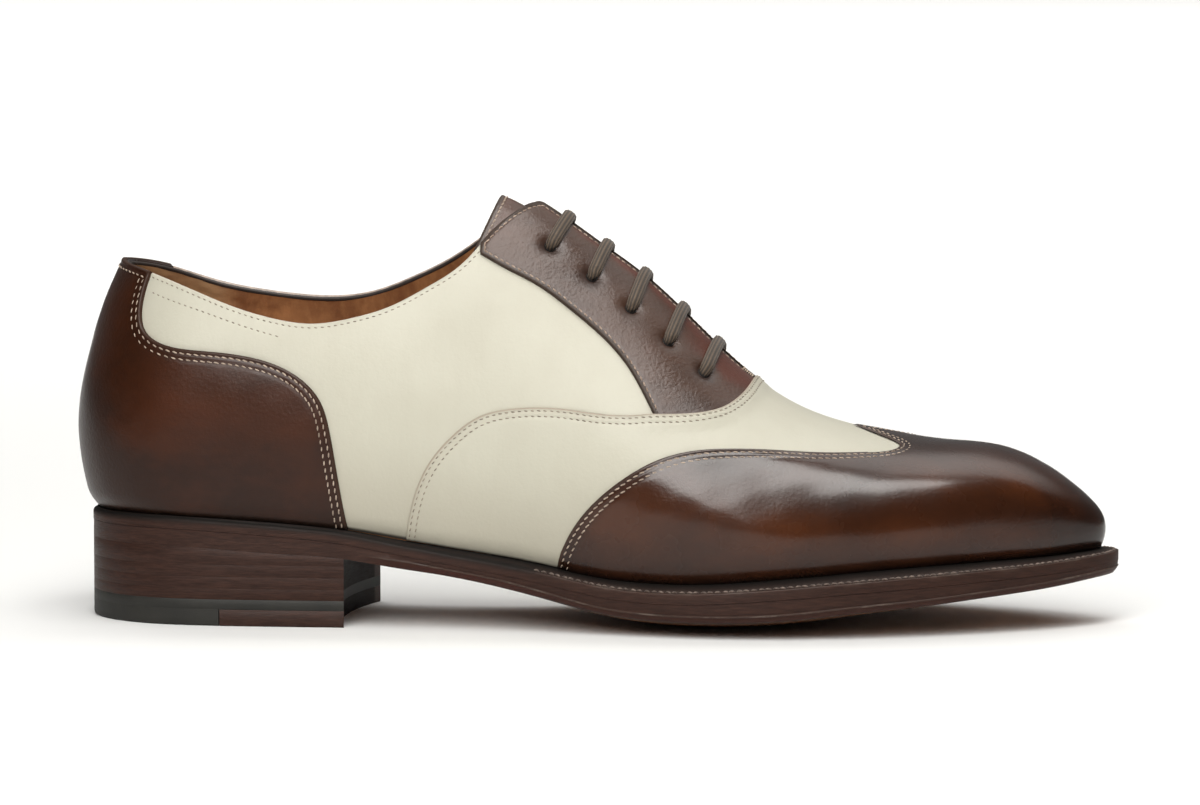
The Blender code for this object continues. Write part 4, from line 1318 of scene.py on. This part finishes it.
sockShape = {"rise": 1.0, "clearance": 2.0, "dish": 0.6}


def makeSock():
    angles = np.linspace(0, np.pi, 160)
    across = np.linspace(-1, 1, 33)
    inset = sole["inset"](angles) + sockShape["clearance"]
    left = np.stack(solePoint(angles, lateral, inset), -1)
    right = np.stack(solePoint(angles, medial, inset), -1)
    share = (across[None, :, None] + 1) / 2
    plan = left[:, None] * (1 - share) + right[:, None] * share
    z = sole["edgeTop"](soleAngle(plan[..., 0])) + sockShape["rise"]
    z = z + sockShape["dish"] * (across ** 4 - 0.5)
    top = np.concatenate([plan, z[..., None]], -1)
    bottom = top - (0, 0, 2.4)
    points = np.concatenate([top.reshape(-1, 3), bottom.reshape(-1, 3)])
    count = top.shape[0] * top.shape[1]
    faces = gridFaces(160, 33) + gridFaces(160, 33, count, flip=True)
    for row in range(159):
        for column, flip in ((0, False), (32, True)):
            a, b = row * 33 + column, (row + 1) * 33 + column
            quad = (a, b, b + count, a + count)
            faces.append(quad[::-1] if not flip else quad)
    item = makePiece("sock", points, faces, [tanLining], {"grip": np.full(len(points), 0.15)})
    return finishPiece(item, ["insole"])


def roundTheSole(count):
    # (angle, side) all the way round, evenly spaced along the edge, from the heel's back
    stations = []
    lengths = []
    for side in bothSides:
        angles = np.linspace(0, np.pi, 2401)
        x, y = solePoint(angles, side, 0.0)
        reach = np.concatenate([[0], np.cumsum(np.hypot(np.diff(x), np.diff(y)))])
        lengths.append(reach[-1])
        even = np.linspace(0, reach[-1], count // 2 + 1)
        stations.append(np.interp(even, reach, angles))
    angles = np.concatenate([stations[0], stations[1][-2:0:-1]])
    sides = np.concatenate([np.full(len(stations[0]), lateral), np.full(len(stations[1]) - 2, medial)])
    along = np.concatenate([np.linspace(0, lengths[0], len(stations[0])),
                            lengths[0] + np.linspace(0, lengths[1], len(stations[1]))[1:-1]])
    return angles, sides, along


def ringPoints(angles, sides, inset, height):
    # one closed row round the shoe; height is above the sole's edge
    inset = np.broadcast_to(inset, angles.shape)
    x = np.empty(len(angles))
    y = np.empty(len(angles))
    for side in bothSides:
        chosen = sides == side
        x[chosen], y[chosen] = solePoint(angles[chosen], side, np.maximum(inset[chosen], 0))
    z = sole["edgeTop"](soleAngle(x)) + height
    return np.stack([x, y, z], -1)


weltShape = {
    "thickness": 3.1,
    "stations": 1480,
    "setback": 0.1,
    "rim": 1.0, "rimFront": 0.4,      # how round the outer edge is, behind the waist and in front of it
    "stitchPitch": 2.1,
    "stitchInset": 1.25,
    "sewnFrom": 128.0,     # stitching and wheel marks run from here round the forefoot
    "markDepth": 0.42,
    "bumps": 0.10,         # a hand-dressed edge is never quite even
}


def weltFront(x, start=weltShape["sewnFrom"], reach=16.0):
    share = np.clip((x - start) / reach, 0, 1)
    return share ** 2 * (3 - 2 * share)


def weltSlope(place, start, ledge):  # 0 at the rim, 1 where the leather stands on the welt
    return np.clip((place - start) / np.maximum(ledge - start, 0.3), 0, 1)


def makeWelt():
    shape = weltShape
    angles, sides, along = roundTheSole(shape["stations"])
    x = xAt(angles, 0, soleShape["length"])
    inset = sole["inset"](angles)
    rise = sole["rise"](angles)
    front = weltFront(x)
    wheel = 0.5 + 0.5 * np.cos(2 * np.pi * along / shape["stitchPitch"])
    rim = shape["rim"] + (shape["rimFront"] - shape["rim"]) * front
    rim = np.minimum(rim, inset * 0.75)
    uneven = shape["bumps"] * (np.sin(along / 2.3) + np.sin(along / 3.7 + 1) + np.sin(along / 8.1 + 2)) / 3
    uneven = uneven * (1 - 0.6 * front)
    low = -shape["thickness"]
    ledge = inset - 0.2
    rows = [(inset + 4.0, low, 0, 1), (ledge * 0.5, low, 0, 0), (shape["setback"] + 0.1, low, 0, 0),
            (shape["setback"], low + 0.05, 0, 0), (shape["setback"], low * 0.6, 0, 0)]
    # the rim's rounded top is painted lighter towards its crest: scuffs and painted highlight
    for turn in np.linspace(0, np.pi / 2, 6):
        high = math.sin(turn)
        worn = 0.15 + 0.85 * high * (1 - 0.3 * high)
        rows.append((shape["setback"] + rim * (1 - math.cos(turn)), -rim + rim * high + uneven * high,
                     worn, (0.6 + 0.4 * high) * (1 - front)))
    start = shape["setback"] + rim
    groove = shape["stitchInset"]
    marks = front * shape["markDepth"]
    for distance, wheeled, flat in ((0.30, 0.35, 0.0), (0.0, 0.9, 0.35), (-0.28, 0.35, 0.0)):
        place = np.where(front > 0, np.maximum(groove - distance, start + 0.02), start + 0.02)
        place = start + (place - start) * front + (0.04 + 0.04 * (1 - distance)) * (1 - front)
        slope = rise * weltSlope(place, start, ledge)
        rows.append((place, slope - marks * (wheeled * wheel + flat) + uneven * (1 - front), 0.5 - 0.4 * flat,
                     1.0 - 0.6 * front))
    for share in (0.45, 0.7, 1.0):
        place = np.maximum(start + 0.35, groove + 0.3)
        place = place + (ledge - place) * share
        slope = rise * weltSlope(place, start, ledge)
        rows.append((place, slope, 0.1 * (1 - share), 0.6 + 0.4 * share))
    rows.append((inset + 4.0, rise, 0, 1))
    rings = [ringPoints(angles, sides, a, b) for a, b, _, _ in rows]
    points = np.concatenate(rings)
    faces = gridFaces(len(rings), len(angles), closed=True)
    wearAndGlint = np.concatenate([w * (0.25 + 0.75 * front) for _, _, w, _ in rows])
    # painted shade: dark on the welt towards the upper, in its stitch groove and over its rim behind the
    # waist
    dark = np.concatenate([np.broadcast_to(np.asarray(c, float), angles.shape) for _, _, _, c in rows])
    values = {"wearAndGlint": wearAndGlint, "bevel": wearAndGlint * 0, "paintedShade": dark}
    item = makePiece("weltStrip", points, faces, [soleEdge], values, sharp=0.9)
    return finishPiece(item, ["welt"])


def sewWelt():
    shape = weltShape
    angles, sides, along = roundTheSole(shape["stations"])
    inset = sole["inset"](angles)
    ringX = xAt(angles, 0, soleShape["length"])
    start = shape["setback"] + shape["rimFront"]
    height = sole["rise"](angles) * weltSlope(shape["stitchInset"], start, inset - 0.2)
    ring = ringPoints(angles, sides, shape["stitchInset"], height)
    stitches = []
    for at in np.arange(shape["stitchPitch"] / 2, along[-1], shape["stitchPitch"]):
        i = int(np.clip(np.searchsorted(along, at), 1, len(along) - 2))
        if ringX[i] < shape["sewnFrom"] + 6:
            continue
        direction = ring[i + 1] - ring[i - 1]
        direction = direction / np.linalg.norm(direction)
        outward = np.array((direction[1], -direction[0], 0.0)) * -sides[i]
        normal = np.array((0, 0, 1.0)) + outward * 0.3
        normal = normal - direction * (normal @ direction)
        normal = normal / np.linalg.norm(normal)
        direction = direction + np.cross(normal, direction) * 0.22 * sides[i]
        direction = direction / np.linalg.norm(direction)
        stitches.append((ring[i] + normal * 0.04, direction, normal, 1.9, 0.38))
    return sew("weltStitching", stitches, weltThread)


outsoleShape = {
    "setback": 0.2,
    "bead": 1.75,          # the light bead line stands this far above the bottom edge
    "bevel": 0.9,
    "waistBevel": 2.2,
    "channel": 9.0,
}


def underside(x, across):
    angle = soleAngle(x)
    return np.maximum(sole["bottom"](angle) + sole["crown"](angle) * across ** 2, 0.0)


def makeOutsole():
    shape = outsoleShape
    angles, sides, along = roundTheSole(900)
    x = xAt(angles, 0, soleShape["length"])
    edgeTop = sole["edgeTop"](angles)
    bottom = underside(x, 1.0)
    waist = np.exp(-((x - 112) / 26) ** 2)
    free = np.clip((x - 84) / 20, 0, 1)      # the edge is shaped only where no heel carries on below it
    bevel = shape["bevel"] + shape["waistBevel"] * waist
    bevelHeight = 1.1 + 1.6 * waist
    top = edgeTop - weltShape["thickness"] - 0.04
    wall = top - bottom
    bead = np.minimum(shape["bead"] + 0.9 * waist, wall * 0.6)
    back = shape["setback"]
    rows = [(6.0, top, 0), (back + 0.12, top, 0), (back, top - 0.05, 0),
            (back + 0.04, bottom + wall * 0.75, 0), (back + 0.06 * free, bottom + bead + 0.8, 0),
            # the bead rows take the light scuff colour: scuff and painted highlight along the bead
            (back + 0.16 * free, bottom + bead + 0.35, 0), (back - 0.12 * free, bottom + bead + 0.14, free),
            (back - 0.12 * free, bottom + bead - 0.12, 0.8 * free),
            (back + 0.2 * free, bottom + bead - 0.32, 0),
            (back + 0.25 * free, bottom + np.minimum(bevelHeight, bead - 0.4), 0),
            (back + (0.25 + bevel * 0.5) * free, bottom + np.minimum(bevelHeight, bead) * 0.35, 0),
            (back + (0.2 + bevel) * free, bottom + 0.05, 0)]
    rings, wearAndGlint, bevels = [], [], []
    for index, (inset, z, worn) in enumerate(rows):
        ring = ringPoints(angles, sides, inset, 0)
        ring[:, 2] = z
        rings.append(ring)
        wearAndGlint.append(np.broadcast_to(np.asarray(worn, float), angles.shape))
        bevels.append((0.25 + 0.75 * waist) * free * (index >= 8))
    wallCount = len(rings)
    edgeRing = rings[-1]
    middle = sole["centre"](soleAngle(edgeRing[:, 0]))
    centre = np.stack([np.clip(edgeRing[:, 0], 4, 296), middle, edgeRing[:, 2]], -1)
    for share in np.linspace(0, 1, 19)[1:]:
        ring = edgeRing + (centre - edgeRing) * share
        across = 1 - share
        flatZ = underside(ring[:, 0], across)
        inFromEdge = np.linalg.norm((ring - edgeRing)[:, :2], axis=1)
        seam = 0.25 * np.exp(-((inFromEdge - shape["channel"]) / 1.1) ** 2)
        ring[:, 2] = flatZ + np.where(flatZ > 0.3, seam, 0) + 0.05 * np.exp(-share * 40)
        rings.append(ring)
        wearAndGlint.append(np.zeros(len(angles)))
        bevels.append(np.zeros(len(angles)))
    points = np.concatenate(rings)
    faces = gridFaces(len(rings), len(angles), closed=True, flip=True)
    faceMaterials = [0 if i // len(angles) < wallCount - 1 else 1 for i in range(len(faces))]
    band = np.repeat(np.arange(len(rings)) < wallCount + 1, len(angles)).astype(float)
    values = {"wearAndGlint": np.concatenate(wearAndGlint), "bevel": np.concatenate(bevels), "edgeBand": band,
              "paintedShade": band * 0}
    item = makePiece("sole", points, faces, [soleEdge, treadLeather], values, faceMaterials, sharp=0.9)
    return finishPiece(item, ["outsole"])


heelShape = {
    "breastLateral": 78.5, "breastMedial": 80.5, "breastHollow": 4.5,
    "setback": 0.2,
    "topLift": 7.7, "blockHeight": 4.8, "blockStart": 42.0,
    "liftLines": (10.9, 14.3, 17.8),
    "liftGroove": 0.03,
}


def heelRing(start, inset, z, count=150, breastCount=40):
    # a closed row round the heel (or round its front block): side, back, side, then the hollow breast
    rows = []
    for side, front in ((lateral, heelShape["breastLateral"]), (medial, heelShape["breastMedial"])):
        angles = np.linspace(soleAngle(front), soleAngle(start), count)
        rows.append(np.stack(solePoint(angles, side, inset), -1))
    a = rows[0][0]
    b = rows[1][0]
    share = np.linspace(0, 1, breastCount + 2)[1:-1]
    across = 2 * share - 1
    line = b + (a - b) * share[:, None]
    line[:, 0] -= heelShape["breastHollow"] * (1 - across ** 2)
    plan = np.concatenate([rows[0], rows[1][::-1][1:] if start == 0 else rows[1][::-1], line])
    return np.concatenate([plan, np.broadcast_to(z, (len(plan),))[:, None]], 1)


def endFans(rows, count):  # closes a tube at both ends round two hubs, which follow the last row
    faces = []
    for row, hub, flip in ((0, rows * count, False), (rows - 1, rows * count + 1, True)):
        for j in range(count):
            face = (row * count + j, row * count + (j + 1) % count, hub)
            faces.append(face[::-1] if flip else face)
    return faces


def heelBlock(name, start, levels, material, nodes):
    rings, wearAndGlint = [], []
    for inset, z, worn in levels:
        ring = heelRing(start, heelShape["setback"] + inset, 0.0)
        ring[:, 2] = z(ring) if callable(z) else z
        rings.append(ring)
        wearAndGlint.append(np.full(len(ring), float(worn)))
    count = len(rings[0])
    points = np.concatenate([*rings, [rings[0].mean(axis=0), rings[-1].mean(axis=0)]])
    wearAndGlint.append(np.zeros(2))
    faces = gridFaces(len(rings), count, closed=True) + endFans(len(rings), count)
    breast = np.zeros(count)
    breast[-38:] = 1      # painted shade on the hollow front under the waist
    paintedShade = np.concatenate([np.tile(breast * 0.75, len(rings)), (0.0, 0.0)])
    values = {"wearAndGlint": np.concatenate(wearAndGlint), "bevel": np.zeros(len(points)), "paintedShade": paintedShade}
    item = makePiece(name, points, faces, [material], values, sharp=0.7)
    return finishPiece(item, nodes)


def makeHeel():
    shape = heelShape

    def seat(ring):
        angle = soleAngle(ring[:, 0])
        return sole["bottom"](angle) + sole["crown"](angle) + 0.15

    def under(depth):
        return lambda ring: seat(ring) - depth

    levels = [(0.06, shape["topLift"] + 0.04, 0), (0.0, shape["topLift"] + 0.12, 0)]
    for line in shape["liftLines"]:
        levels += [(0.0, line - 0.1, 0), (shape["liftGroove"], line, 0), (0.0, line + 0.1, 0)]
    levels += [(0.0, under(0.2), 0), (0.04, under(0.13), 0)]
    heelBlock("heelStack", 0, levels, soleEdge, ["heel_stack"])
    blockTop = shape["blockHeight"] - 0.02
    heelBlock("frontBlock", shape["blockStart"] + 0.15,
              [(0.4, 0.0, 0.2), (0.1, 0.25, 0.3), (0.0, 0.6, 0.1), (0.0, blockTop - 0.06, 0),
               (0.05, blockTop, 0)],
              soleEdge, ["top_lift_leather"])
    rubberTop = shape["topLift"]
    heelBlock("rubberLayer", 0,
              [(0.05, shape["blockHeight"] + 0.03, 0), (0.0, shape["blockHeight"] + 0.1, 0),
               (0.0, rubberTop - 0.1, 0), (0.05, rubberTop, 0)],
              blackRubber, ["top_lift_rubber"])
    makeRearBlock()


def makeRearBlock():
    # the rubber quarter under the back of the heel, butted against the leather block
    shape = heelShape
    rings = []
    high = shape["blockHeight"]
    for inset, z in ((0.55, 0.0), (0.15, 0.3), (0.0, 0.8), (0.0, high + 0.05), (0.1, high + 0.12)):
        rows = []
        for side in bothSides:
            angles = np.linspace(soleAngle(shape["blockStart"] - 0.1), 0, 110)
            rows.append(np.stack(solePoint(angles, side, shape["setback"] + inset), -1))
        a, b = rows[0][0], rows[1][0]
        share = np.linspace(0, 1, 22)[1:-1]
        line = b + (a - b) * share[:, None]
        plan = np.concatenate([rows[0], rows[1][::-1][1:], line])
        rings.append(np.concatenate([plan, np.full((len(plan), 1), z)], 1))
    count = len(rings[0])
    points = np.concatenate([*rings, [rings[0].mean(axis=0), rings[-1].mean(axis=0)]])
    faces = gridFaces(len(rings), count, closed=True) + endFans(len(rings), count)
    item = makePiece("rubberRear", points, faces, [blackRubber], sharp=0.7)
    return finishPiece(item)


laceShape = {
    "halfWidth": 2.02,
    "halfHeight": 1.08,
    "flatHeight": 0.62,
    "ribs": 11,
    "ribDepth": 0.11,
    "overFacing": 2.12,    # height of the cord's middle above the last
    "underFacing": -2.55,
    "step": 0.45,
}


def barPoints(index, fromSide):
    # one bar, from the hole on fromSide over the throat to the hole on the other side
    x, up, ridgeX = eyelets[index]
    half = 0.5 * lengthOf(smoothLine([(lastAngle(x), up), (lastAngle(ridgeX), 1.0)], lateral), lateral) * 2
    places = []
    rise = ((0.35, -2.2), (0.4, -0.9), (0.6, 0.3), (1.25, 1.4), (2.3, 2.02), (3.8, laceShape["overFacing"]))
    entry = [(-1 + distance / half, lift) for distance, lift in rise]
    across = np.linspace(-1 + 5.5 / half, 1 - 5.5 / half, 9)
    middle = [(s, laceShape["overFacing"] + 0.12 * (1 - s * s)) for s in across]
    leave = [(1 - distance / half, lift) for distance, lift in rise[::-1]]
    for s, lift in entry + middle + leave:
        s = s if fromSide == lateral else -s
        side = lateral if s < 0 else medial
        angle = lastAngle(ridgeX - (ridgeX - x) * s ** 2)
        high = 1 - (1 - up) * abs(s)
        places.append((lifted(angle, high, side, lift), lastNormal(angle, high, side), lift))
    return places


def hiddenRun(index, target, side, drop=0.0):
    places = []
    x0, up0, _ = eyelets[index]
    x1, up1, _ = eyelets[target]
    for share in (0.14, 0.3, 0.5, 0.7, 0.86):
        x = x0 + (x1 - x0) * share
        up = up0 + (up1 - up0) * share - drop * math.sin(math.pi * min(share * 1.4, 1.0) / 2)
        lift = laceShape["underFacing"] - (0.35 if drop else 0)
        places.append((lifted(lastAngle(x), up, side, lift), lastNormal(lastAngle(x), up, side), lift))
    return places


def makeLace():
    shape = laceShape
    places = []
    # one end lies hidden from the bottom lateral eyelet up to the top one
    places += hiddenRun(0, 4, lateral, drop=0.13)
    side = lateral
    for index in (4, 3, 2, 1, 0):
        places += barPoints(index, side)
        side = -side
        if index:
            places += hiddenRun(index, index - 1, side)
    points = np.array([p for p, _, _ in places])
    normals = np.array([n for _, n, _ in places])
    lifts = np.array([lift for _, _, lift in places])
    reach = np.concatenate([[0], np.cumsum(np.sqrt(np.linalg.norm(np.diff(points, axis=0), axis=1)))])
    share = np.linspace(0, reach[-1], 6001)
    fine = np.stack([smoothCurve(reach, points[:, k])(share) for k in range(3)], -1)
    length = reachOf(fine)
    even = np.linspace(0, length[-1], int(length[-1] / shape["step"]))
    path = np.stack([np.interp(even, length, fine[:, k]) for k in range(3)], -1)
    shareEven = np.interp(even, length, share)
    normal = np.stack([np.interp(shareEven, reach, normals[:, k]) for k in range(3)], -1)
    lift = np.interp(shareEven, reach, lifts)
    tangent = np.gradient(path, axis=0)
    tangent /= np.linalg.norm(tangent, axis=1, keepdims=True)
    # carry the frame along the cord, then turn it so that the flat side lies on the leather
    upAxis = np.empty_like(path)
    current = normal[0] - tangent[0] * (normal[0] @ tangent[0])
    error = np.full(len(path), np.nan)
    for i in range(len(path)):
        current = current - tangent[i] * (current @ tangent[i])
        current = current / np.linalg.norm(current)
        upAxis[i] = current
        wanted = normal[i] - tangent[i] * (normal[i] @ tangent[i])
        if np.linalg.norm(wanted) > 0.8:
            wanted = wanted / np.linalg.norm(wanted)
            error[i] = math.atan2(np.cross(current, wanted) @ tangent[i], current @ wanted)
    known = ~np.isnan(error)
    turned = np.interp(np.arange(len(path)), np.flatnonzero(known), np.unwrap(error[known] * 2) / 2)
    sideAxis = np.cross(tangent, upAxis)
    high = upAxis * np.cos(turned)[:, None] + sideAxis * np.sin(turned)[:, None]
    wide = np.cross(tangent, high)
    flatness = np.clip((lift + 1.6) / 1.2, 0, 1)
    around = np.linspace(0, 2 * np.pi, 44, endpoint=False)
    ribs = np.cos(around * shape["ribs"])
    halfHeight = shape["flatHeight"] + (shape["halfHeight"] - shape["flatHeight"]) * flatness
    squeeze = 1 - 0.16 * np.exp(-((lift - 0.4) / 1.2) ** 2)
    rings = []
    for i in range(len(path)):
        radial = 1 + shape["ribDepth"] / shape["halfHeight"] * (ribs - 1) * 0.5
        w = shape["halfWidth"] * squeeze[i] * np.sign(np.cos(around)) * np.abs(np.cos(around)) ** 0.9
        h = halfHeight[i] * np.sign(np.sin(around)) * np.abs(np.sin(around)) ** 0.9
        rings.append(path[i] + (w * radial)[:, None] * wide[i] + (h * radial)[:, None] * high[i])
    points = np.concatenate([*rings, path[:1], path[-1:]])
    faces = gridFaces(len(path), 44, closed=True, flip=True) + endFans(len(path), 44)
    # painted shade across the cord: 0 in the grooves between ribs, 1 on the crests
    ribShade = np.concatenate([np.tile((ribs + 1) / 2, len(path)), (0.5, 0.5)])
    item = makePiece("lace", points, faces, [waxedCord], {"ribShade": ribShade}, sharp=3.0)
    return finishPiece(item, ["lace_bar_%d" % k for k in range(1, 6)])


threads = {
    "brownRow": {"pitch": 2.1, "length": 1.95, "radius": 0.21, "tilt": 0.2},
    "facingRow": {"pitch": 1.9, "length": 1.75, "radius": 0.24, "tilt": 0.16},
    "creamRow": {"pitch": 1.9, "length": 1.4, "radius": 0.18, "tilt": 0.18},
    "tongueRow": {"pitch": 2.0, "length": 1.65, "radius": 0.26, "tilt": 0.1},
    "bartack": {"length": 2.6, "radius": 0.28, "count": 6},
}


def trimAtRidge(line):
    return line[line[:, 1] <= 1.0]


def sewPanels():
    counterStitches, wingStitches, facingStitches = [], [], []
    collarStitches, vampStitches, tongueStitches = [], [], []
    for side in bothSides:
        edge = counterEdge(side)
        inside = (float(lastAngle(35)), 0.2)
        for row in counterShape["rows"]:
            line = moveLine(edge, side, row, inside)
            counterStitches += rowOfStitches(line, side, 1.2, threads["brownRow"], 0.8, -2.4)
        collar = topLine(0.01, float(edge[-1, 0]), side)
        line = moveLine(collar, side, 2.3, inside)
        counterStitches += rowOfStitches(line, side, 1.22, threads["brownRow"], 0.0, -0.8)
        tail, peak = wingTail(side), wingPeak(side)
        whole = joinLines([tail[:-1], peak], side)
        inside = (float(lastAngle(235)), 0.3)
        for row in wingShape["rows"]:
            line = trimAtRidge(moveLine(whole, side, row, inside))
            line = spacedEvenly(line, side)
            wingStitches += rowOfStitches(line, side, 1.6, threads["brownRow"], 0.8, -0.4)
        bottom, top, left, right = facingLines(side)
        inside = (float(lastAngle(150)), 0.78)
        rim = joinLines([bottom[::-1][:-1], left[:-1], top], side)
        line = moveLine(rim, side, facingShape["rows"][0], inside)
        facingStitches += rowOfStitches(line, side, 1.2, threads["facingRow"], 1.2, -3.5)
        free = topLine(float(edge[-1, 0]), float(bottom[0, 0]), side)
        inside = (float(lastAngle(70)), 0.2)
        line = moveLine(free, side, 1.35, inside)
        collarStitches += rowOfStitches(line, side, 0.02, threads["creamRow"], 0.5, -1.5)
        short = smoothLine(byShare(((14.8, 0.467), (23.5, 0.447), (35.4, 0.423), (47.6, 0.397),
                                    (59.7, 0.375))), side)
        collarStitches += rowOfStitches(short, side, 0.02, threads["creamRow"], 1.5, 0.0)
        seam = vampSeam(side)
        inside = (float(lastAngle(175)), 0.2)
        for row in vampShape["rows"]:
            line = spacedEvenly(trimAtRidge(moveLine(seam, side, row, inside)), side)
            vampStitches += rowOfStitches(line, side, lambda points, side: 0.78 + vampLift(points, side),
                                          threads["creamRow"], 0.8, -0.6)
        left = tongueLines(side)[2]
        line = moveLine(left, side, 1.9, (float(lastAngle(160)), 0.8))
        line = spacedEvenly(trimAtRidge(line), side)
        tongueStitches += rowOfStitches(line, side, -2.85, threads["tongueRow"], 1.0, 0.0)
    sew("counterStitching", counterStitches, paleThread)
    sew("wingStitching", wingStitches, paleThread)
    sew("facingStitching", facingStitches, duskThread)
    sew("collarStitching", collarStitches, greyThread)
    sew("vampStitching", vampStitches, greyThread)
    sew("tongueStitching", tongueStitches, paleThread)


def sewBartack():
    tack = threads["bartack"]
    stitches = []
    centreX = 191.6
    for offset in np.linspace(-1.3, 1.3, tack["count"]):
        angle = lastAngle(centreX + offset)
        point = lifted(angle, 0.972, lateral, 1.55)
        normal = lastNormal(angle, 0.972, lateral)
        direction = np.array((0.0, 1.0, 0.0))
        direction = direction - normal * (direction @ normal)
        direction = direction / np.linalg.norm(direction)
        stitches.append((point, direction, normal, tack["length"], tack["radius"]))
    return sew("throatTack", stitches, paleThread)


makeQuarters()
makeVamp()
makeCounter()
makeWing()
makeFacing(lateral, "facingLateral")
makeFacing(medial, "facingMedial")
makeTongue()
print("upper panels laid")
makeLining()
makeTape()
makeSock()
print("inside lined")
makeWelt()
sewWelt()
makeOutsole()
makeHeel()
print("sole and heel built")
makeLace()
sewPanels()
sewBartack()
print("laced and sewn")


studio = {
    "floorSize": 60.0,
    "floorColor": (0.96, 0.965, 0.96),
    "skyFront": 0.035,      # the room on the camera's side is nearly dark
    "skyBack": 0.16,
    # name, one corner, two edges, how bright, how wide the beam is
    "lamps": (
        ("softbox", (-0.048, -0.914, 0.254), (0.748, 0.974, 1.186), (-0.375, 0.100, 0.154), 5.6, 180),
        ("farFloor", (-3.4, 0.55, 2.0), (0.0, 5.0, 0.0), (6.4, 0.0, 0.0), 1.35, 115),
    ),
    "cardShare": 1.1,
    "lampColor": (1.0, 0.985, 0.955),
    "target": (0.002, -0.0001, 0.060),
    "yaw": 6.0, "elevation": 5.5, "distance": 2.0,
    "lens": 206.22, "shiftX": -0.00217, "shiftY": 0.00808,
}


def makeFloor():
    half = studio["floorSize"] / 2
    mesh = bpy.data.meshes.new("floor")
    corners = [(-half, -half, 0), (half, -half, 0), (half, half, 0), (-half, half, 0)]
    mesh.from_pydata(corners, [], [(0, 1, 2, 3)])
    n = Nodes("paleFloor")
    mesh.materials.append(n.look(color=(*studio["floorColor"], 1.0), roughness=0.75, specular=0.2))
    floor = bpy.data.objects.new("floor", mesh)
    bpy.context.scene.collection.objects.link(floor)


def makeSky():
    world = bpy.data.worlds.new("studioSky")
    bpy.context.scene.world = world
    world.use_nodes = True
    tree = world.node_tree
    background = tree.nodes["Background"]
    coord = tree.nodes.new("ShaderNodeTexCoord")
    split = tree.nodes.new("ShaderNodeSeparateXYZ")
    ramp = tree.nodes.new("ShaderNodeMapRange")
    ramp.interpolation_type = "SMOOTHSTEP"
    tree.links.new(coord.outputs["Generated"], split.inputs[0])
    tree.links.new(split.outputs["Y"], ramp.inputs["Value"])
    for socket, number in (("From Min", -0.15), ("From Max", 0.8), ("To Min", studio["skyFront"]),
                           ("To Max", studio["skyBack"])):
        ramp.inputs[socket].default_value = number
    tree.links.new(ramp.outputs["Result"], background.inputs["Color"])
    background.inputs["Strength"].default_value = 1.0


def aim(item, place, target):
    item.location = place
    item.rotation_euler = (Vector(target) - Vector(place)).to_track_quat("-Z", "Y").to_euler()


def makeLamp(name, width, length, energy):
    light = bpy.data.lights.new(name, "AREA")
    light.shape = "RECTANGLE"
    light.size = width
    light.size_y = length
    light.color = studio["lampColor"]
    light.energy = energy
    item = bpy.data.objects.new(name, light)
    item.visible_camera = False
    bpy.context.scene.collection.objects.link(item)
    return item


def makeLights():
    for name, corner, long, wide, brightness, beam in studio["lamps"]:
        corner, long, wide = Vector(corner), Vector(long), Vector(wide)
        energy = brightness * math.pi * wide.length * long.length
        item = makeLamp(name, wide.length, long.length, energy)
        item.data.spread = math.radians(beam)
        across, along = wide.normalized(), long.normalized()
        if across.cross(along).z < 0:      # the lamp shines along its own -z, so down
            across = -across
        turn = Matrix((across, along, across.cross(along))).transposed()
        item.matrix_world = Matrix.Translation(corner + (long + wide) / 2) @ turn.to_4x4()

    # a second sheet over the softbox adds gloss to the polish and nothing to the floor
    softbox = bpy.data.objects["softbox"]
    lamp = softbox.data
    sheet = makeLamp("glossCard", lamp.size, lamp.size_y, lamp.energy * studio["cardShare"])
    sheet.matrix_world = softbox.matrix_world @ Matrix.Translation((0.0, 0.0, -0.01))
    sheet.visible_diffuse = False


def makeCamera():
    yaw, lift = math.radians(studio["yaw"]), math.radians(studio["elevation"])
    look = Vector((-math.sin(yaw) * math.cos(lift), math.cos(yaw) * math.cos(lift), -math.sin(lift)))
    target = Vector(studio["target"])
    data = bpy.data.cameras.new("camera")
    data.lens = studio["lens"]
    data.sensor_width = 36.0
    data.shift_x = studio["shiftX"]
    data.shift_y = studio["shiftY"]
    data.clip_end = 200.0
    camera = bpy.data.objects.new("camera", data)
    bpy.context.scene.collection.objects.link(camera)
    aim(camera, target - look * studio["distance"], target)
    bpy.context.scene.camera = camera


makeFloor()
makeSky()
makeLights()
makeCamera()
bpy.context.scene.view_settings.view_transform = "Standard"
print("studio set")
